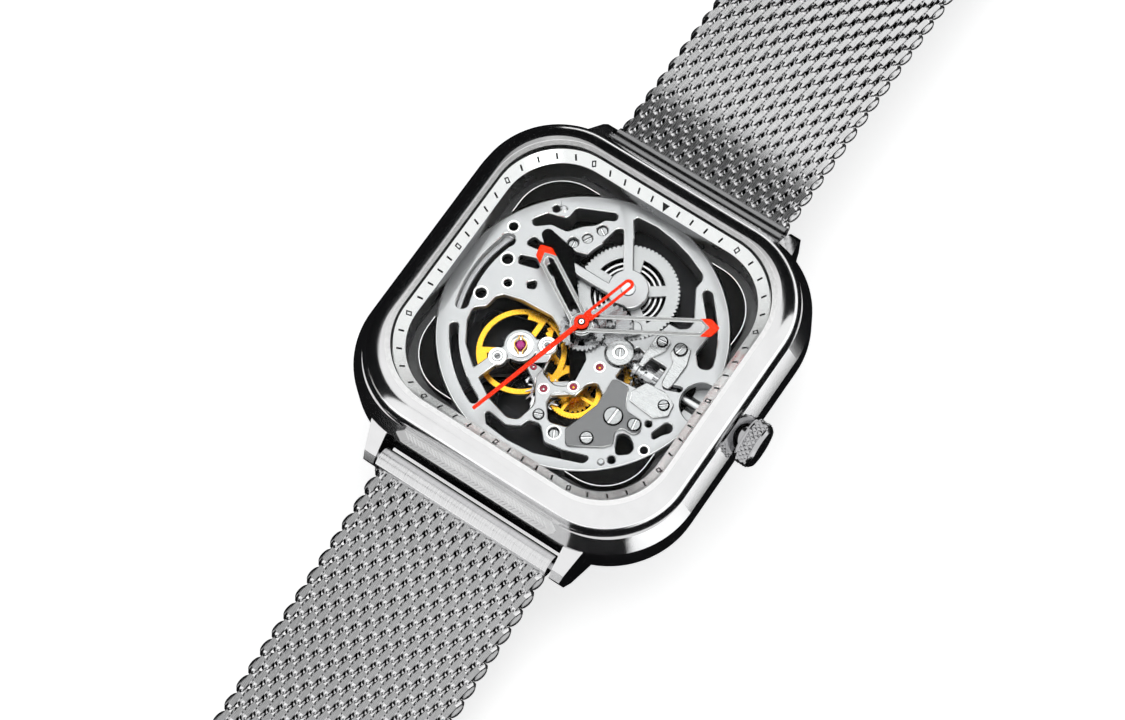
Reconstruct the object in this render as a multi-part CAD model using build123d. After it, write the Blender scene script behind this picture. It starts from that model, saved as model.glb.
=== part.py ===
from build123d import *
import os
from math import atan2, cos, degrees, hypot, pi, radians, sin, sqrt, tan

# Skeleton wristwatch in millimetres. Z is up through the crystal, +Y is 12 o'clock, +X is the crown.
# The origin is the centre of the flat outer face of the case back.

# ---------------------------------------------------------------- driving dimensions
# Case, seen from above, as rounded squares given by half their width
CASE_HALF = 19.9
CASE_CORNER = 10.0
CASE_FLOOR_Z = 1.3
CASE_WIDEST_Z = 7.0
FLANK_RISE = 1.85
FLANK_RUN = 1.05
GRIP_LENGTH = 19.6
GRIP_DEPTH = 0.4
GRIP_PROUD = 0.15
CASE_FOOT_R = 2.2
CORNER_SHARE = 0.66
CASE_WALL = 3.65
CAVITY_HALF = CASE_HALF - CASE_WALL
RING_FIT = 0.05
RING_WALL = 0.95

# Bezel, crystal and minute track
BEZEL_TOP_Z = 11.9
BEZEL_ROLL = 2.05
CRYSTAL_HALF = CAVITY_HALF - 0.1
CRYSTAL_GASKET = 0.52
BEZEL_EYE_HALF = CRYSTAL_HALF + CRYSTAL_GASKET
CRYSTAL_THICK = 0.9
CRYSTAL_Z = 11.15
FLANGE_OUTER_HALF = CAVITY_HALF - 0.15
FLANGE_RUN = 1.2
FLANGE_INNER_HALF = FLANGE_OUTER_HALF - FLANGE_RUN
FLANGE_LIP_Z = 10.2
FLANGE_BASE_Z = 10.1

# Back
BACK_MARGIN = 2.7
BACK_HALF = CASE_HALF - BACK_MARGIN
BACK_WINDOW_R = 0.8 * CAVITY_HALF
BACK_GLASS_LEDGE = 0.75
BACK_GLASS_R = BACK_WINDOW_R + BACK_GLASS_LEDGE
BACK_GASKET = 0.4
BACK_GLASS_THICK = 1.2
BACK_GLASS_SET = 0.35

# Lugs and spring bars; the gap between the lugs takes the strap
STRAP_WIDTH = 21.2
LUG_CLEAR = 0.4
LUG_GAP = STRAP_WIDTH + 2 * LUG_CLEAR
LUG_ROOT_HALF = LUG_GAP / 2 + 2.3
LUG_TIP_HALF = LUG_GAP / 2 + 1.2
LUG_TIP_Y = CASE_HALF + 2.8
BAR_Y = CASE_HALF + 1.7
BAR_Z = 3.7
SPRING_BAR_R = 0.45
SPRING_BAR_TIP_R = 0.3

# Strap
STRAP_THICK = 1.8
END_BAR_R = 1.25
STRAP_CLEAR = 0.04
# Middle line of each strap half in the YZ plane, from the end bar outwards, and its bend radii
STRAP_12 = [(BAR_Y, BAR_Z), (54.0, 3.5), (78.0, 0.0), (97.0, -5.7)]
STRAP_12_BENDS = [80, 60]
STRAP_6 = [(-BAR_Y, BAR_Z - 0.3), (-BAR_Y - 4.9, 1.4), (-52.0, -4.0), (-75.0, -5.9), (-132.0, -5.9)]
STRAP_6_BENDS = [12, 90, 90]
STRAP_TIP_R = 5.0

# Clasp
CATCH_BAR_R = 0.8
CATCH_REACH = 3.4
CLASP_Y = -117.0
CLASP_LENGTH = 14.0
CLASP_WALL = 0.7
CLASP_CLEAR = 0.1
CLASP_PIN_R = 0.4
CLASP_KNUCKLE_R = 0.9
COVER_THICK = 0.9

# Crown and stem
STEM_Z = 6.5
CROWN_X = CASE_HALF + 0.15
CROWN_LEN = 2.05
CROWN_R = 2.42
CROWN_TRAVEL = 1.2
CLUTCH_X = 6.5
CLUTCH_LEN = 1.25
CLUTCH_R = 1.08
TUBE_R = 1.25
STEM_R = 0.6

# Movement. It is drawn for a plate of 15.3 mm radius, and PLAN fits it to the plate that the case holds.
PLATE_R = CAVITY_HALF - RING_WALL
PLAN = PLATE_R / 15.3
PLATE_TOP_Z = 8.2
WEB_THICK = 1.0
WALL_INNER_R = 13.0
BRIDGE_TOP_Z = 4.65
BRIDGE_THICK = 0.9
PLAY = 0.04
LEVER_THICK = 0.25
POST_R = 0.32
PIVOT_R = 0.1
RATCHET_Z = 4.74
SECONDS_TRAIN_Z = 4.98

# Hands, with the angles they rest at, counted from +X
HOUR_Z = 10.05
MINUTE_Z = 10.4
SECONDS_Z = 10.78
HAND_THICK = 0.16
HOUR_LEN = 9.9
MINUTE_LEN = 14.15
SECONDS_LEN = 14.4
HOUR_ANGLE = 149.8
MINUTE_ANGLE = 31.0
SECONDS_ANGLE = 254.2

# Wheel centres
CENTRE = (0.0, 0.0)
BARREL = (1.3, 6.5)
THIRD = (3.7, -2.3)
FOURTH = (2.65, -5.55)
IDLER = (1.64, -2.62)
ESCAPE = (0.2, -7.4)
PALLET = (-2.05, -5.95)
BALANCE = (-4.5, -4.75)
CROWN_WHEEL = (5.9, 0.0)
SETTING = (4.6, 0.1)
LEVER_PIVOT = (9.65, 3.75)
LEVER_PIN = (10.57, -0.26)
YOKE_PIVOT = (7.6, 3.45)
YOKE_FINGER = (7.13, 0.32)
CLICK_PIVOT = (-5.0, 7.5)

# ---------------------------------------------------------------- derived levels
CREASE_Z = CASE_WIDEST_Z + FLANK_RISE
CREASE_HALF = CASE_HALF - FLANK_RUN
WEB_Z = PLATE_TOP_Z - WEB_THICK
BRIDGE_Z = BRIDGE_TOP_Z - BRIDGE_THICK


# ---------------------------------------------------------------- small helpers
def save(node, shape):
    """Write one node as parts/NODE.step; a list of solids becomes one compound."""
    os.makedirs("parts", exist_ok=True)
    export_step(Compound(shape) if isinstance(shape, list) else shape, f"parts/{node}.step")


def at(xy, z=0.0):
    return Pos(xy[0], xy[1], z)


def disc(xy, radius, z0, z1):
    """A round slab between two levels."""
    return at(xy, z0) * extrude(Circle(radius), z1 - z0)


def pipe(xy, outer, inner, z0, z1):
    """A ring between two levels."""
    return at(xy, z0) * extrude(Circle(outer) - Circle(inner), z1 - z0)


def slab(points, z0, z1, round_r=0.0):
    """A flat plate with the given outline; each corner is rounded as far as its sides allow."""
    if not round_r:
        return Pos(0, 0, z0) * extrude(make_face(Polyline(*points, close=True)), z1 - z0)
    radii = []
    for before, corner, after in zip(points[-1:] + points, points, points[1:] + points[:1]):
        turn = radians(abs((heading(corner, after) - heading(before, corner) + 180) % 360 - 180))
        shorter = min(distance(before, corner), distance(corner, after))
        radii.append(min(round_r, 0.45 * shorter / tan(turn / 2)))
    return Pos(0, 0, z0) * extrude(make_face(FilletPolyline(*points, radius=radii, close=True)), z1 - z0)


def bar(start, end, width, z0, z1):
    """A straight arm of even width with round ends, between two points."""
    length = hypot(end[0] - start[0], end[1] - start[1])
    angle = degrees(atan2(end[1] - start[1], end[0] - start[0]))
    middle = ((start[0] + end[0]) / 2, (start[1] + end[1]) / 2)
    return at(middle, z0) * Rot(0, 0, angle) * extrude(SlotCenterToCenter(length, width), z1 - z0)


def arc_slot(radius, width, angle0, angle1, z0, z1):
    """A curved slot about the watch's centre, with round ends."""
    path = CenterArc((0, 0), radius, angle0, angle1 - angle0)
    return Pos(0, 0, z0) * extrude(SlotArc(path, width), z1 - z0)


def corner_of(half):
    """Corner radius of the case family of rounded squares at a given half width."""
    return CASE_CORNER - CORNER_SHARE * (CASE_HALF - half)


def cushion(half, z0, z1, taper=0.0):
    """A rounded-square block; a taper draws it in towards z1."""
    outline = RectangleRounded(2 * half, 2 * half, corner_of(half))
    return Pos(0, 0, z0) * extrude(outline, z1 - z0, taper=taper)


def polar(centre, radius, angle):
    return (centre[0] + radius * cos(radians(angle)), centre[1] + radius * sin(radians(angle)))


def distance(a, b):
    return hypot(a[0] - b[0], a[1] - b[1])


def heading(a, b):
    return degrees(atan2(b[1] - a[1], b[0] - a[0]))


def split_radii(a, b, teeth_a, teeth_b):
    """Pitch radii of two meshed wheels from their centres and tooth counts."""
    reach = distance(a, b)
    return reach * teeth_a / (teeth_a + teeth_b), reach * teeth_b / (teeth_a + teeth_b)


def mesh_angle(a, b, teeth_a, teeth_b, angle_a):
    """Where a tooth of wheel b stands, so that it sits in a gap of wheel a."""
    line = heading(a, b)
    return line + 180 - (angle_a - line) * teeth_a / teeth_b - 180 / teeth_b


def toothed(xy, pitch_r, teeth, z0, z1, angle=0.0, crest=0.3, bore=0.0):
    """A wheel with straight-sided teeth; one tooth is centred on the given angle."""
    module = 2 * pitch_r / teeth
    tip_r = pitch_r + 0.62 * module
    root_r = pitch_r - 0.95 * module
    step = 360 / teeth
    points = []
    for i in range(teeth):
        middle = angle + i * step
        points.append(polar((0, 0), root_r, middle - 0.5 * step))
        points.append(polar((0, 0), tip_r, middle - 0.5 * crest * step))
        points.append(polar((0, 0), tip_r, middle + 0.5 * crest * step))
    outline = make_face(Polyline(*points, close=True))
    if bore:
        outline -= Circle(bore)
    return at(xy, z0) * extrude(outline, z1 - z0)


def windows(outer, inner, count, arm, z0, z1, angle=0.0):
    """Cutters that leave straight spokes between a rim and a hub."""
    sector = pipe((0, 0), outer, inner, z0, z1)
    for i in range(count):
        turn = angle + i * 360 / count
        spoke = Pos(0, 0, z0) * extrude(Rectangle(outer * 2.2, arm, align=(Align.MIN, Align.CENTER)), z1 - z0)
        sector -= Rot(0, 0, turn) * spoke
    return sector


def spoked(xy, pitch_r, teeth, z0, z1, angle, hub, spokes, arm, rim=0.45):
    """A toothed wheel with spokes."""
    wheel = toothed((0, 0), pitch_r, teeth, z0, z1, angle)
    root = pitch_r * (1 - 1.9 / teeth)
    wheel -= windows(root - rim, hub, spokes, arm, z0, z1, angle)
    return at(xy) * wheel


def coil(inner_r, pitch, turns, width, z0, z1):
    """A flat spiral spring, made of half rings about two centres."""
    ribbon = Sketch()
    for i in range(2 * turns):
        radius = inner_r + i * pitch / 2
        upper = i % 2 == 0
        half = Rectangle(3 * radius, 2 * radius, align=(Align.CENTER, Align.MIN if upper else Align.MAX))
        ring = (Circle(radius + width / 2) - Circle(radius - width / 2)) & half
        ribbon += Pos(0 if upper else pitch / 2, 0) * ring
    return Pos(0, 0, z0) * extrude(ribbon, z1 - z0)


def lying(shape, x):
    """Turn a piece built along Z so that it lies along the stem, starting at x."""
    return Pos(x, 0, STEM_Z) * Rot(0, 90, 0) * shape


# ---------------------------------------------------------------- case
def lug(side, end):
    """One lug; side is +1 or -1 in X and end is +1 or -1 in Y."""
    root = CASE_HALF - 6
    profile = Polyline((root, 7.4), (CASE_HALF - 0.4, 6.7), (LUG_TIP_Y - 0.7, 4.5), (LUG_TIP_Y, 3.4),
                       (LUG_TIP_Y - 0.5, 1.0), (LUG_TIP_Y - 1.5, 0.35), (CASE_HALF - 1.3, 0.8),
                       (CASE_HALF - 2.3, CASE_FLOOR_Z), (root, CASE_FLOOR_Z), close=True)
    wall = Plane.YZ * make_face(profile)
    wall = extrude(wall, LUG_ROOT_HALF + 2)
    plan = slab([(LUG_GAP / 2, root), (LUG_ROOT_HALF + 0.4, root), (LUG_ROOT_HALF, CASE_HALF - 1.2),
                 (LUG_TIP_HALF, LUG_TIP_Y + 0.1), (LUG_GAP / 2, LUG_TIP_Y + 0.1)], 0, 8)
    piece = wall & plan
    piece = fillet(piece.edges().filter_by(Axis.X).filter_by(lambda e: e.center().Y > CASE_HALF + 0.6), 0.3)
    if side < 0:
        piece = mirror(piece, Plane.YZ)
    if end < 0:
        piece = mirror(piece, Plane.XZ)
    return piece


def case_middle():
    lower = cushion(CASE_HALF, CASE_FLOOR_Z, CASE_WIDEST_Z)
    lower = fillet(lower.faces().sort_by(Axis.Z)[0].edges(), CASE_FOOT_R)
    flank = cushion(CASE_HALF, CASE_WIDEST_Z, CREASE_Z, degrees(atan2(FLANK_RUN, FLANK_RISE)))
    body = lower + flank
    for side in (1, -1):
        for end in (1, -1):
            body += lug(side, end)
    body -= cushion(CAVITY_HALF, CASE_FLOOR_Z - 1, BEZEL_TOP_Z)
    for end in (1, -1):
        body -= grip_plate(end)
        for side in (1, -1):
            body -= Pos(side * (LUG_GAP / 2 - 1), end * BAR_Y, BAR_Z) * Rot(0, side * 90, 0) * extrude(
                Circle(SPRING_BAR_TIP_R + 0.02), 1.8)
    return body - lying(extrude(Circle(TUBE_R), 6), CASE_HALF - 4)


def grip_plate(end):
    """A long plate with bevelled ends, let into the sloping flank on the 12 or 6 side."""
    slope = degrees(atan2(FLANK_RISE, FLANK_RUN))
    width = hypot(FLANK_RISE, FLANK_RUN) - 0.35
    plate = Box(GRIP_LENGTH, width, GRIP_DEPTH + GRIP_PROUD, align=(Align.CENTER, Align.CENTER, Align.MIN))
    plate = chamfer(plate.edges().filter_by(Axis.Z), 0.45 * width)
    middle_y = (CASE_HALF + CREASE_HALF) / 2
    middle_z = (CASE_WIDEST_Z + CREASE_Z) / 2
    placed = Pos(0, -middle_y, middle_z) * Rot(slope, 0, 0) * Pos(0, 0, -GRIP_DEPTH) * plate
    return placed if end < 0 else mirror(placed, Plane.XZ)


def side_grips():
    return [grip_plate(end) for end in (1, -1)]


def bezel():
    body = cushion(CREASE_HALF, CREASE_Z, BEZEL_TOP_Z)
    body = fillet(body.faces().sort_by(Axis.Z)[-1].edges(), BEZEL_ROLL)
    body -= cushion(CAVITY_HALF, CREASE_Z - 1, BEZEL_TOP_Z + 1)
    body -= cushion(BEZEL_EYE_HALF, CRYSTAL_Z, BEZEL_TOP_Z + 1)
    return body


def crystal():
    glass = cushion(CRYSTAL_HALF, CRYSTAL_Z, CRYSTAL_Z + CRYSTAL_THICK)
    return chamfer(glass.faces().sort_by(Axis.Z)[-1].edges(), 0.2)


def crystal_gasket():
    ring = cushion(BEZEL_EYE_HALF, CRYSTAL_Z, CRYSTAL_Z + CRYSTAL_THICK - 0.25)
    return ring - cushion(CRYSTAL_HALF, CRYSTAL_Z - 1, CRYSTAL_Z + 2)


def flange_ring():
    body = cushion(CAVITY_HALF - RING_FIT, FLANGE_BASE_Z, CRYSTAL_Z)
    widen = degrees(atan2(FLANGE_OUTER_HALF - FLANGE_INNER_HALF, CRYSTAL_Z - FLANGE_LIP_Z))
    slope = cushion(FLANGE_INNER_HALF, FLANGE_LIP_Z, CRYSTAL_Z, -widen)
    return body - slope - cushion(FLANGE_INNER_HALF, FLANGE_BASE_Z - 1, FLANGE_LIP_Z)


def casing_ring():
    """The dark well around the movement, bored from below to hold the main plate."""
    body = cushion(CAVITY_HALF - RING_FIT, CASE_FLOOR_Z, FLANGE_BASE_Z)
    body -= cushion(FLANGE_INNER_HALF, CASE_FLOOR_Z - 1, FLANGE_BASE_Z + 1)
    body -= disc(CENTRE, PLATE_R, CASE_FLOOR_Z - 1, PLATE_TOP_Z)
    return body - lying(extrude(Circle(STEM_R + 0.15), 4), CAVITY_HALF - 3)


def case_back():
    body = cushion(BACK_HALF, 0, CASE_FLOOR_Z)
    body = chamfer(body.faces().sort_by(Axis.Z)[0].edges(), 0.4)
    body -= disc(CENTRE, BACK_WINDOW_R, -1, 3)
    return body - disc(CENTRE, BACK_GLASS_R + BACK_GASKET, BACK_GLASS_SET, 3)


def case_back_gasket():
    return pipe(CENTRE, BACK_GLASS_R + BACK_GASKET, BACK_GLASS_R, BACK_GLASS_SET, CASE_FLOOR_Z)


def case_back_crystal():
    return disc(CENTRE, BACK_GLASS_R, BACK_GLASS_SET, BACK_GLASS_SET + BACK_GLASS_THICK)


def crown_tube():
    body = lying(extrude(Circle(TUBE_R), 4.4), CASE_HALF - 3.6)
    return body - lying(extrude(Circle(STEM_R + 0.05), 8), CASE_HALF - 5)


# ---------------------------------------------------------------- crown and keyless works
def crown():
    body = lying(extrude(Circle(CROWN_R), CROWN_LEN), CROWN_X)
    body = chamfer(body.faces().sort_by(Axis.X)[-1].edges(), 0.3)
    body = chamfer(body.faces().sort_by(Axis.X)[0].edges(), 0.2)
    return body - lying(extrude(Circle(TUBE_R + 0.35), 1.05), CROWN_X)


def crown_gasket():
    """Sealing ring that slides out with the crown."""
    return lying(extrude(Circle(TUBE_R + 0.35) - Circle(TUBE_R + PLAY), 0.35), CROWN_X + 0.4)


def winding_stem():
    outer_end = (CROWN_X + 1.05) / PLAN
    body = lying(extrude(Circle(STEM_R), outer_end - 8.75), 8.75)
    body += lying(extrude(Rectangle(0.8, 0.8), 3.05), 5.7)
    body += lying(extrude(Circle(0.28), 1.0), 4.7)
    return body - lying(extrude(Circle(2) - Circle(0.36), 0.75), 10.2)


def winding_pinion():
    body = lying(toothed((0, 0), 1.38, 18, 0, 0.6), 8.8)
    body += lying(extrude(Circle(1.1), 1.0), 7.8)
    for i in range(8):
        body -= lying(Rot(0, 0, 45 * i) * Pos(0.9, 0, 0) * Box(0.7, 0.28, 0.4), 7.8)
    return body - lying(extrude(Circle(STEM_R + PLAY), 3), 7.5)


def sliding_pinion():
    """The clutch: square-bored, with teeth at both ends and a groove for the yoke."""
    body = lying(extrude(Circle(CLUTCH_R), CLUTCH_LEN), CLUTCH_X)
    body -= lying(extrude(Circle(2) - Circle(0.72 * CLUTCH_R), 0.5), YOKE_FINGER[0] - 0.25)
    for i in range(6):
        notch = Pos(CLUTCH_R, 0, 0) * Box(0.5, 0.35, 0.5)
        body -= lying(Rot(0, 0, 60 * i) * notch, CLUTCH_X)
        body -= lying(Rot(0, 0, 60 * i + 30) * notch, CLUTCH_X + CLUTCH_LEN)
    return body - lying(extrude(Rectangle(0.8 + 2 * PLAY, 0.8 + 2 * PLAY), 3), CLUTCH_X - 1)


def setting_lever():
    low = PLATE_TOP_Z + PLAY
    body = slab([(8.85, 4.5), (10.5, 4.6), (11.15, 2.7), (11.1, -0.5), (10.0, -0.55), (9.7, 2.2), (8.95, 2.9)],
                low, low + LEVER_THICK, 0.6)
    body -= disc(LEVER_PIVOT, POST_R + PLAY, low - 1, low + 1)
    return body + disc(LEVER_PIN, 0.22, STEM_Z + 0.4, low)


def yoke():
    low = PLATE_TOP_Z + PLAY
    body = slab([(6.7, 4.1), (8.4, 4.1), (8.45, 2.8), (7.6, 1.3), (7.4, 0.1), (6.85, 0.1), (6.75, 1.8)],
                low, low + LEVER_THICK, 0.5)
    body -= disc(YOKE_PIVOT, POST_R + PLAY, low - 1, low + 1)
    return body + disc(YOKE_FINGER, 0.16, STEM_Z + 0.88, low)


def lever_spring():
    """The fixed jumper plate that holds the keyless parts down."""
    low = PLATE_TOP_Z
    return slab([(8.7, -1.1), (10.9, -0.95), (12.4, -1.6), (12.6, -3.0), (11.4, -4.0), (8.3, -3.7), (7.9, -2.7)],
                low, low + 0.28, 0.25)


# ---------------------------------------------------------------- main plate
HOLES = [((-12.6, 5.75), 0.5), ((-10.0, 9.9), 0.42), ((-9.05, 6.95), 0.58), ((-6.4, 7.7), 0.6), ((-5.4, 8.9), 0.55),
         ((-4.6, 10.5), 0.6), ((-11.05, 2.4), 0.6), ((-11.2, -2.25), 0.6), ((-9.5, 0.2), 0.45), ((3.75, -10.75), 0.6),
         ((12.5, -7.3), 0.42), ((10.3, -9.95), 0.42), ((11.3, -4.65), 0.38)]


OPENING_R = 0.7


def plate_openings():
    """Every through opening of the skeletonised plate, as cutters."""
    low = BRIDGE_TOP_Z - 1
    top = PLATE_TOP_Z + 1
    cuts = [
        slab([(-4.3, 13.0), (-8.3, 11.15), (-8.4, 9.6), (-10.5, 9.0), (-11.5, 7.5), (-10.9, 6.95), (-9.4, 8.15),
              (-7.6, 8.35), (-6.6, 9.7), (-5.5, 10.6), (-5.0, 11.6), (-3.9, 12.2)], low, top, OPENING_R),
        slab([(-3.4, -12.9), (-2.6, -13.75), (0.2, -13.98), (3.2, -13.7), (8.2, -11.8), (8.3, -10.9), (5.5, -11.85),
              (3.5, -12.2), (2.1, -10.75), (0.8, -11.1), (0.5, -12.1), (-0.8, -12.8), (-3.0, -12.5)], low, top, OPENING_R),
        slab([(-2.4, 13.75), (0, 13.95), (2.4, 13.65), (4.5, 13.1), (6.9, 12.1), (7.15, 11.5), (7.1, 10.4), (9.05, 7.1),
              (9.0, 6.3), (8.2, 5.7), (5.5, 5.5), (-1.0, 11.2), (-2.5, 13.1)], low, top, OPENING_R),
        slab([(-3.5, 11.4), (-2.9, 11.85), (-2.4, 11.55), (-1.7, 10.5), (-3.0, 8.9), (-3.9, 9.3)], low, top, OPENING_R),
        slab([(-8.1, 6.5), (-7.9, 7.15), (-7.2, 7.1), (-5.5, 7.0), (-3.6, 7.6), (-3.6, 5.9), (-6.0, 5.7)],
             low, top, OPENING_R),
        slab([(-10.5, 5.2), (-10.2, 6.1), (-9.4, 5.95), (-8.0, 6.0), (-8.3, 5.15), (-10.2, 4.85)], low, top, OPENING_R),
        slab([(-10.35, 3.5), (-8.6, 4.15), (-7.35, 3.35), (-9.8, 2.6)], low, top, 0.3),
        slab([(-7.6, 4.25), (-6.1, 4.65), (-4.9, 3.6), (-6.3, 3.4)], low, top, 0.3),
        slab([(-7.95, 1.35), (-7.1, 2.25), (-6.7, 1.2), (-7.5, 0.8)], low, top, 0.3),
        slab([(8.05, 10.2), (8.1, 10.9), (8.9, 10.95), (11.5, 8.0), (12.9, 5.4), (13.45, 3.7), (12.2, 3.15),
              (11.1, 4.4), (11.2, 6.6), (9.95, 8.1)], low, top, OPENING_R),
        slab([(12.75, -3.5), (13.5, -3.4), (13.75, -4.2), (13.1, -4.9), (12.6, -5.9), (12.1, -5.4)], low, top, OPENING_R),
        slab([(9.3, -7.4), (9.7, -6.85), (10.4, -6.8), (11.5, -7.5), (11.5, -8.4), (10.4, -9.3), (9.8, -8.6)],
             low, top, OPENING_R),
        slab([(5.6, -2.35), (9.45, -2.0), (9.45, 1.5), (7.2, 1.5), (5.6, 1.75)], low, top, 0.3),
        slab([(-1.2, -1.4), (0.3, -1.9), (1.0, -2.6), (1.05, -3.5), (2.5, -4.6), (1.9, -6.0), (0.9, -6.5),
              (-0.9, -6.0), (-1.3, -3.5)], low, top, OPENING_R),
        slab([(1.15, -7.3), (2.0, -6.55), (3.2, -6.4), (3.6, -4.6), (4.4, -3.75), (5.6, -4.6), (5.9, -6.2), (5.4, -7.5),
              (4.6, -9.5), (2.6, -10.1), (1.2, -8.4)], low, top, OPENING_R),
        disc((14.7, 0.1), 2.3, WEB_Z - 1, top),
        disc(BARREL, 5.75, low, top),
        disc((-12.25, 4.2), 0.78, WEB_Z, top),
        arc_slot(12.93, 1.35, 163, 199, WEB_Z, top),
        arc_slot(13.3, 1.0, 211, 247, low, top),
        balance_well(low, top),
    ]
    return cuts


def balance_well(low, top):
    """The large opening over the balance."""
    return slab([(-11.0, -4.0), (-9.9, -3.1), (-9.7, -1.7), (-9.1, -1.05), (-7.1, -0.5), (-5.2, -0.4), (-3.6, -0.3),
                 (-2.0, -1.1), (-1.2, -2.6), (-1.0, -5.2), (-1.2, -6.6), (-0.5, -8.0), (0.4, -9.3), (-0.1, -11.6),
                 (-1.2, -12.0), (-3.9, -11.3), (-7.3, -9.3), (-9.4, -7.6), (-10.7, -5.5)], low, top, OPENING_R)


def plate_arms():
    """Arms that cross the openings: two to the barrel boss and the balance arm."""
    arms = [
        bar((-3.2, 13.4), BARREL, 1.05, WEB_Z, PLATE_TOP_Z),
        bar((-6.6, 5.4), (1.0, 5.45), 1.0, WEB_Z, PLATE_TOP_Z),
        disc(BARREL, 2.15, WEB_Z, PLATE_TOP_Z),
        disc(CENTRE, 1.35, WEB_Z, PLATE_TOP_Z),
        bar(CENTRE, (4.2, 3.4), 1.5, WEB_Z, PLATE_TOP_Z - 0.45),
        bar(CENTRE, (2.0, -1.5), 1.8, WEB_Z, PLATE_TOP_Z - 0.45),
        bar(CENTRE, (-4.6, 1.6), 1.3, WEB_Z, PLATE_TOP_Z),
        bar((-6.8, -10.2), (-5.75, -7.1), 1.15, WEB_Z, PLATE_TOP_Z),
        disc((-5.75, -7.1), 0.95, WEB_Z, PLATE_TOP_Z),
        bar((-5.75, -7.1), BALANCE, 1.5, WEB_Z, PLATE_TOP_Z - 0.1),
        disc(BALANCE, 1.75, WEB_Z, PLATE_TOP_Z - 0.1),
        bar(BALANCE, (-2.1, -3.3), 1.5, WEB_Z, PLATE_TOP_Z - 0.1),
        disc((-2.1, -3.3), 1.0, WEB_Z, PLATE_TOP_Z),
        bar((-2.1, -3.3), (-1.6, -6.1), 1.5, WEB_Z, PLATE_TOP_Z - 0.1),
        bar(PALLET, ESCAPE, 1.35, WEB_Z, PLATE_TOP_Z - 0.1),
        bar(ESCAPE, FOURTH, 1.5, WEB_Z, PLATE_TOP_Z - 0.1),
        bar(ESCAPE, (0.9, -10.2), 1.2, WEB_Z, PLATE_TOP_Z - 0.1),
    ]
    return arms


def main_plate():
    edge_r = PLATE_R / PLAN
    body = disc(CENTRE, edge_r, WEB_Z, PLATE_TOP_Z)
    body = chamfer(body.faces().sort_by(Axis.Z)[-1].edges(), 0.15)
    body += pipe(CENTRE, edge_r, WALL_INNER_R, BRIDGE_TOP_Z, WEB_Z)
    body -= plate_openings()
    body += plate_arms()
    wheel_m = minute_wheel_place()
    body -= disc(wheel_m, 2.45, PLATE_TOP_Z - 0.6, PLATE_TOP_Z + 1)
    body -= disc(SETTING, 1.55, PLATE_TOP_Z - 0.6, PLATE_TOP_Z + 1)
    body -= disc(CENTRE, 1.2, PLATE_TOP_Z - 0.6, PLATE_TOP_Z + 1)
    body -= disc(CENTRE, 0.36, 0, 12)
    for xy, radius in HOLES:
        body -= disc(xy, radius, WEB_Z - 3, PLATE_TOP_Z + 1)
    body -= [disc(xy, radius, 0, 12) for xy, radius in jewel_places()]
    body -= disc(BALANCE, 1.35, 0, 12)
    body -= disc(BARREL, 0.75, 0, 12)
    body -= lying(extrude(Circle(STEM_R + 0.2), 8), 9.0)
    body -= bar(LEVER_PIN, (LEVER_PIN[0] + CROWN_TRAVEL, 0.2), 0.7, WEB_Z - 1, PLATE_TOP_Z + 1)
    for xy in (wheel_m, SETTING):
        body += disc(xy, POST_R, PLATE_TOP_Z - 0.6, PLATE_TOP_Z + 0.05)
    for xy in (LEVER_PIVOT, YOKE_PIVOT):
        body += disc(xy, POST_R, PLATE_TOP_Z, PLATE_TOP_Z + LEVER_THICK + 2 * PLAY)
    for xy in ((-9.3, 10.3), (9.55, -10.75)):
        body += disc(xy, 0.32, PLATE_TOP_Z, PLATE_TOP_Z + 0.15)
    return body


def cover_plate():
    low = PLATE_TOP_Z
    return slab([(5.5, -2.5), (7.5, -2.5), (8.2, -4.1), (8.7, -4.75), (10.6, -4.8), (11.2, -6.0), (10.7, -6.6),
                 (9.4, -6.65), (9.0, -7.3), (9.6, -8.6), (8.9, -9.4), (5.6, -11.4), (4.5, -9.9), (5.1, -8.2),
                 (5.8, -5.9)], low, low + 0.28, 0.5)


def jewel_places():
    return [(THIRD, 0.42), (IDLER, 0.42), (FOURTH, 0.42), (ESCAPE, 0.44), (PALLET, 0.32)]


def train_jewels():
    stones = [pipe(xy, radius, PIVOT_R + PLAY, WEB_Z + 0.1, PLATE_TOP_Z - 0.15) for xy, radius in jewel_places()]
    return stones + [balance_jewel()]


def shock_setting():
    """Ring, end stone and lyre spring over the balance pivot."""
    low = WEB_Z + 0.1
    body = pipe(BALANCE, 1.35, 0.62, low, PLATE_TOP_Z)
    body -= pipe(BALANCE, 1.1, 0.5, PLATE_TOP_Z - 0.35, PLATE_TOP_Z + 1)
    return body


def balance_jewel():
    stone = disc(BALANCE, 0.62, WEB_Z + 0.35, PLATE_TOP_Z - 0.1)
    return chamfer(stone.faces().sort_by(Axis.Z)[-1].edges(), 0.15)


# ---------------------------------------------------------------- barrel and winding
BARREL_TEETH, CENTRE_LEAVES = 72, 18
RATCHET_TEETH, CROWN_WHEEL_TEETH = 36, 24


def barrel_drum():
    pitch_r = split_radii(BARREL, CENTRE, BARREL_TEETH, CENTRE_LEAVES)[0]
    lid = toothed((0, 0), pitch_r, BARREL_TEETH, 6.8, 7.1)
    lid -= windows(3.95, 1.95, 5, 1.15, 6, 8, 36)
    body = lid + pipe((0, 0), 4.95, 4.7, 5.75, 6.8) + pipe((0, 0), 4.95, 0.66, 5.75, 5.9)
    return at(BARREL) * (body - disc((0, 0), 0.66, 5, 8))


def mainspring():
    return at(BARREL) * coil(1.25, 0.55, 5, 0.2, 5.95, 6.75)


def barrel_arbor():
    body = disc(BARREL, 0.62, 4.7, 7.15) + disc(BARREL, 0.7, 7.15, PLATE_TOP_Z) + disc(BARREL, 1.1, 5.95, 6.7)
    return body


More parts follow.
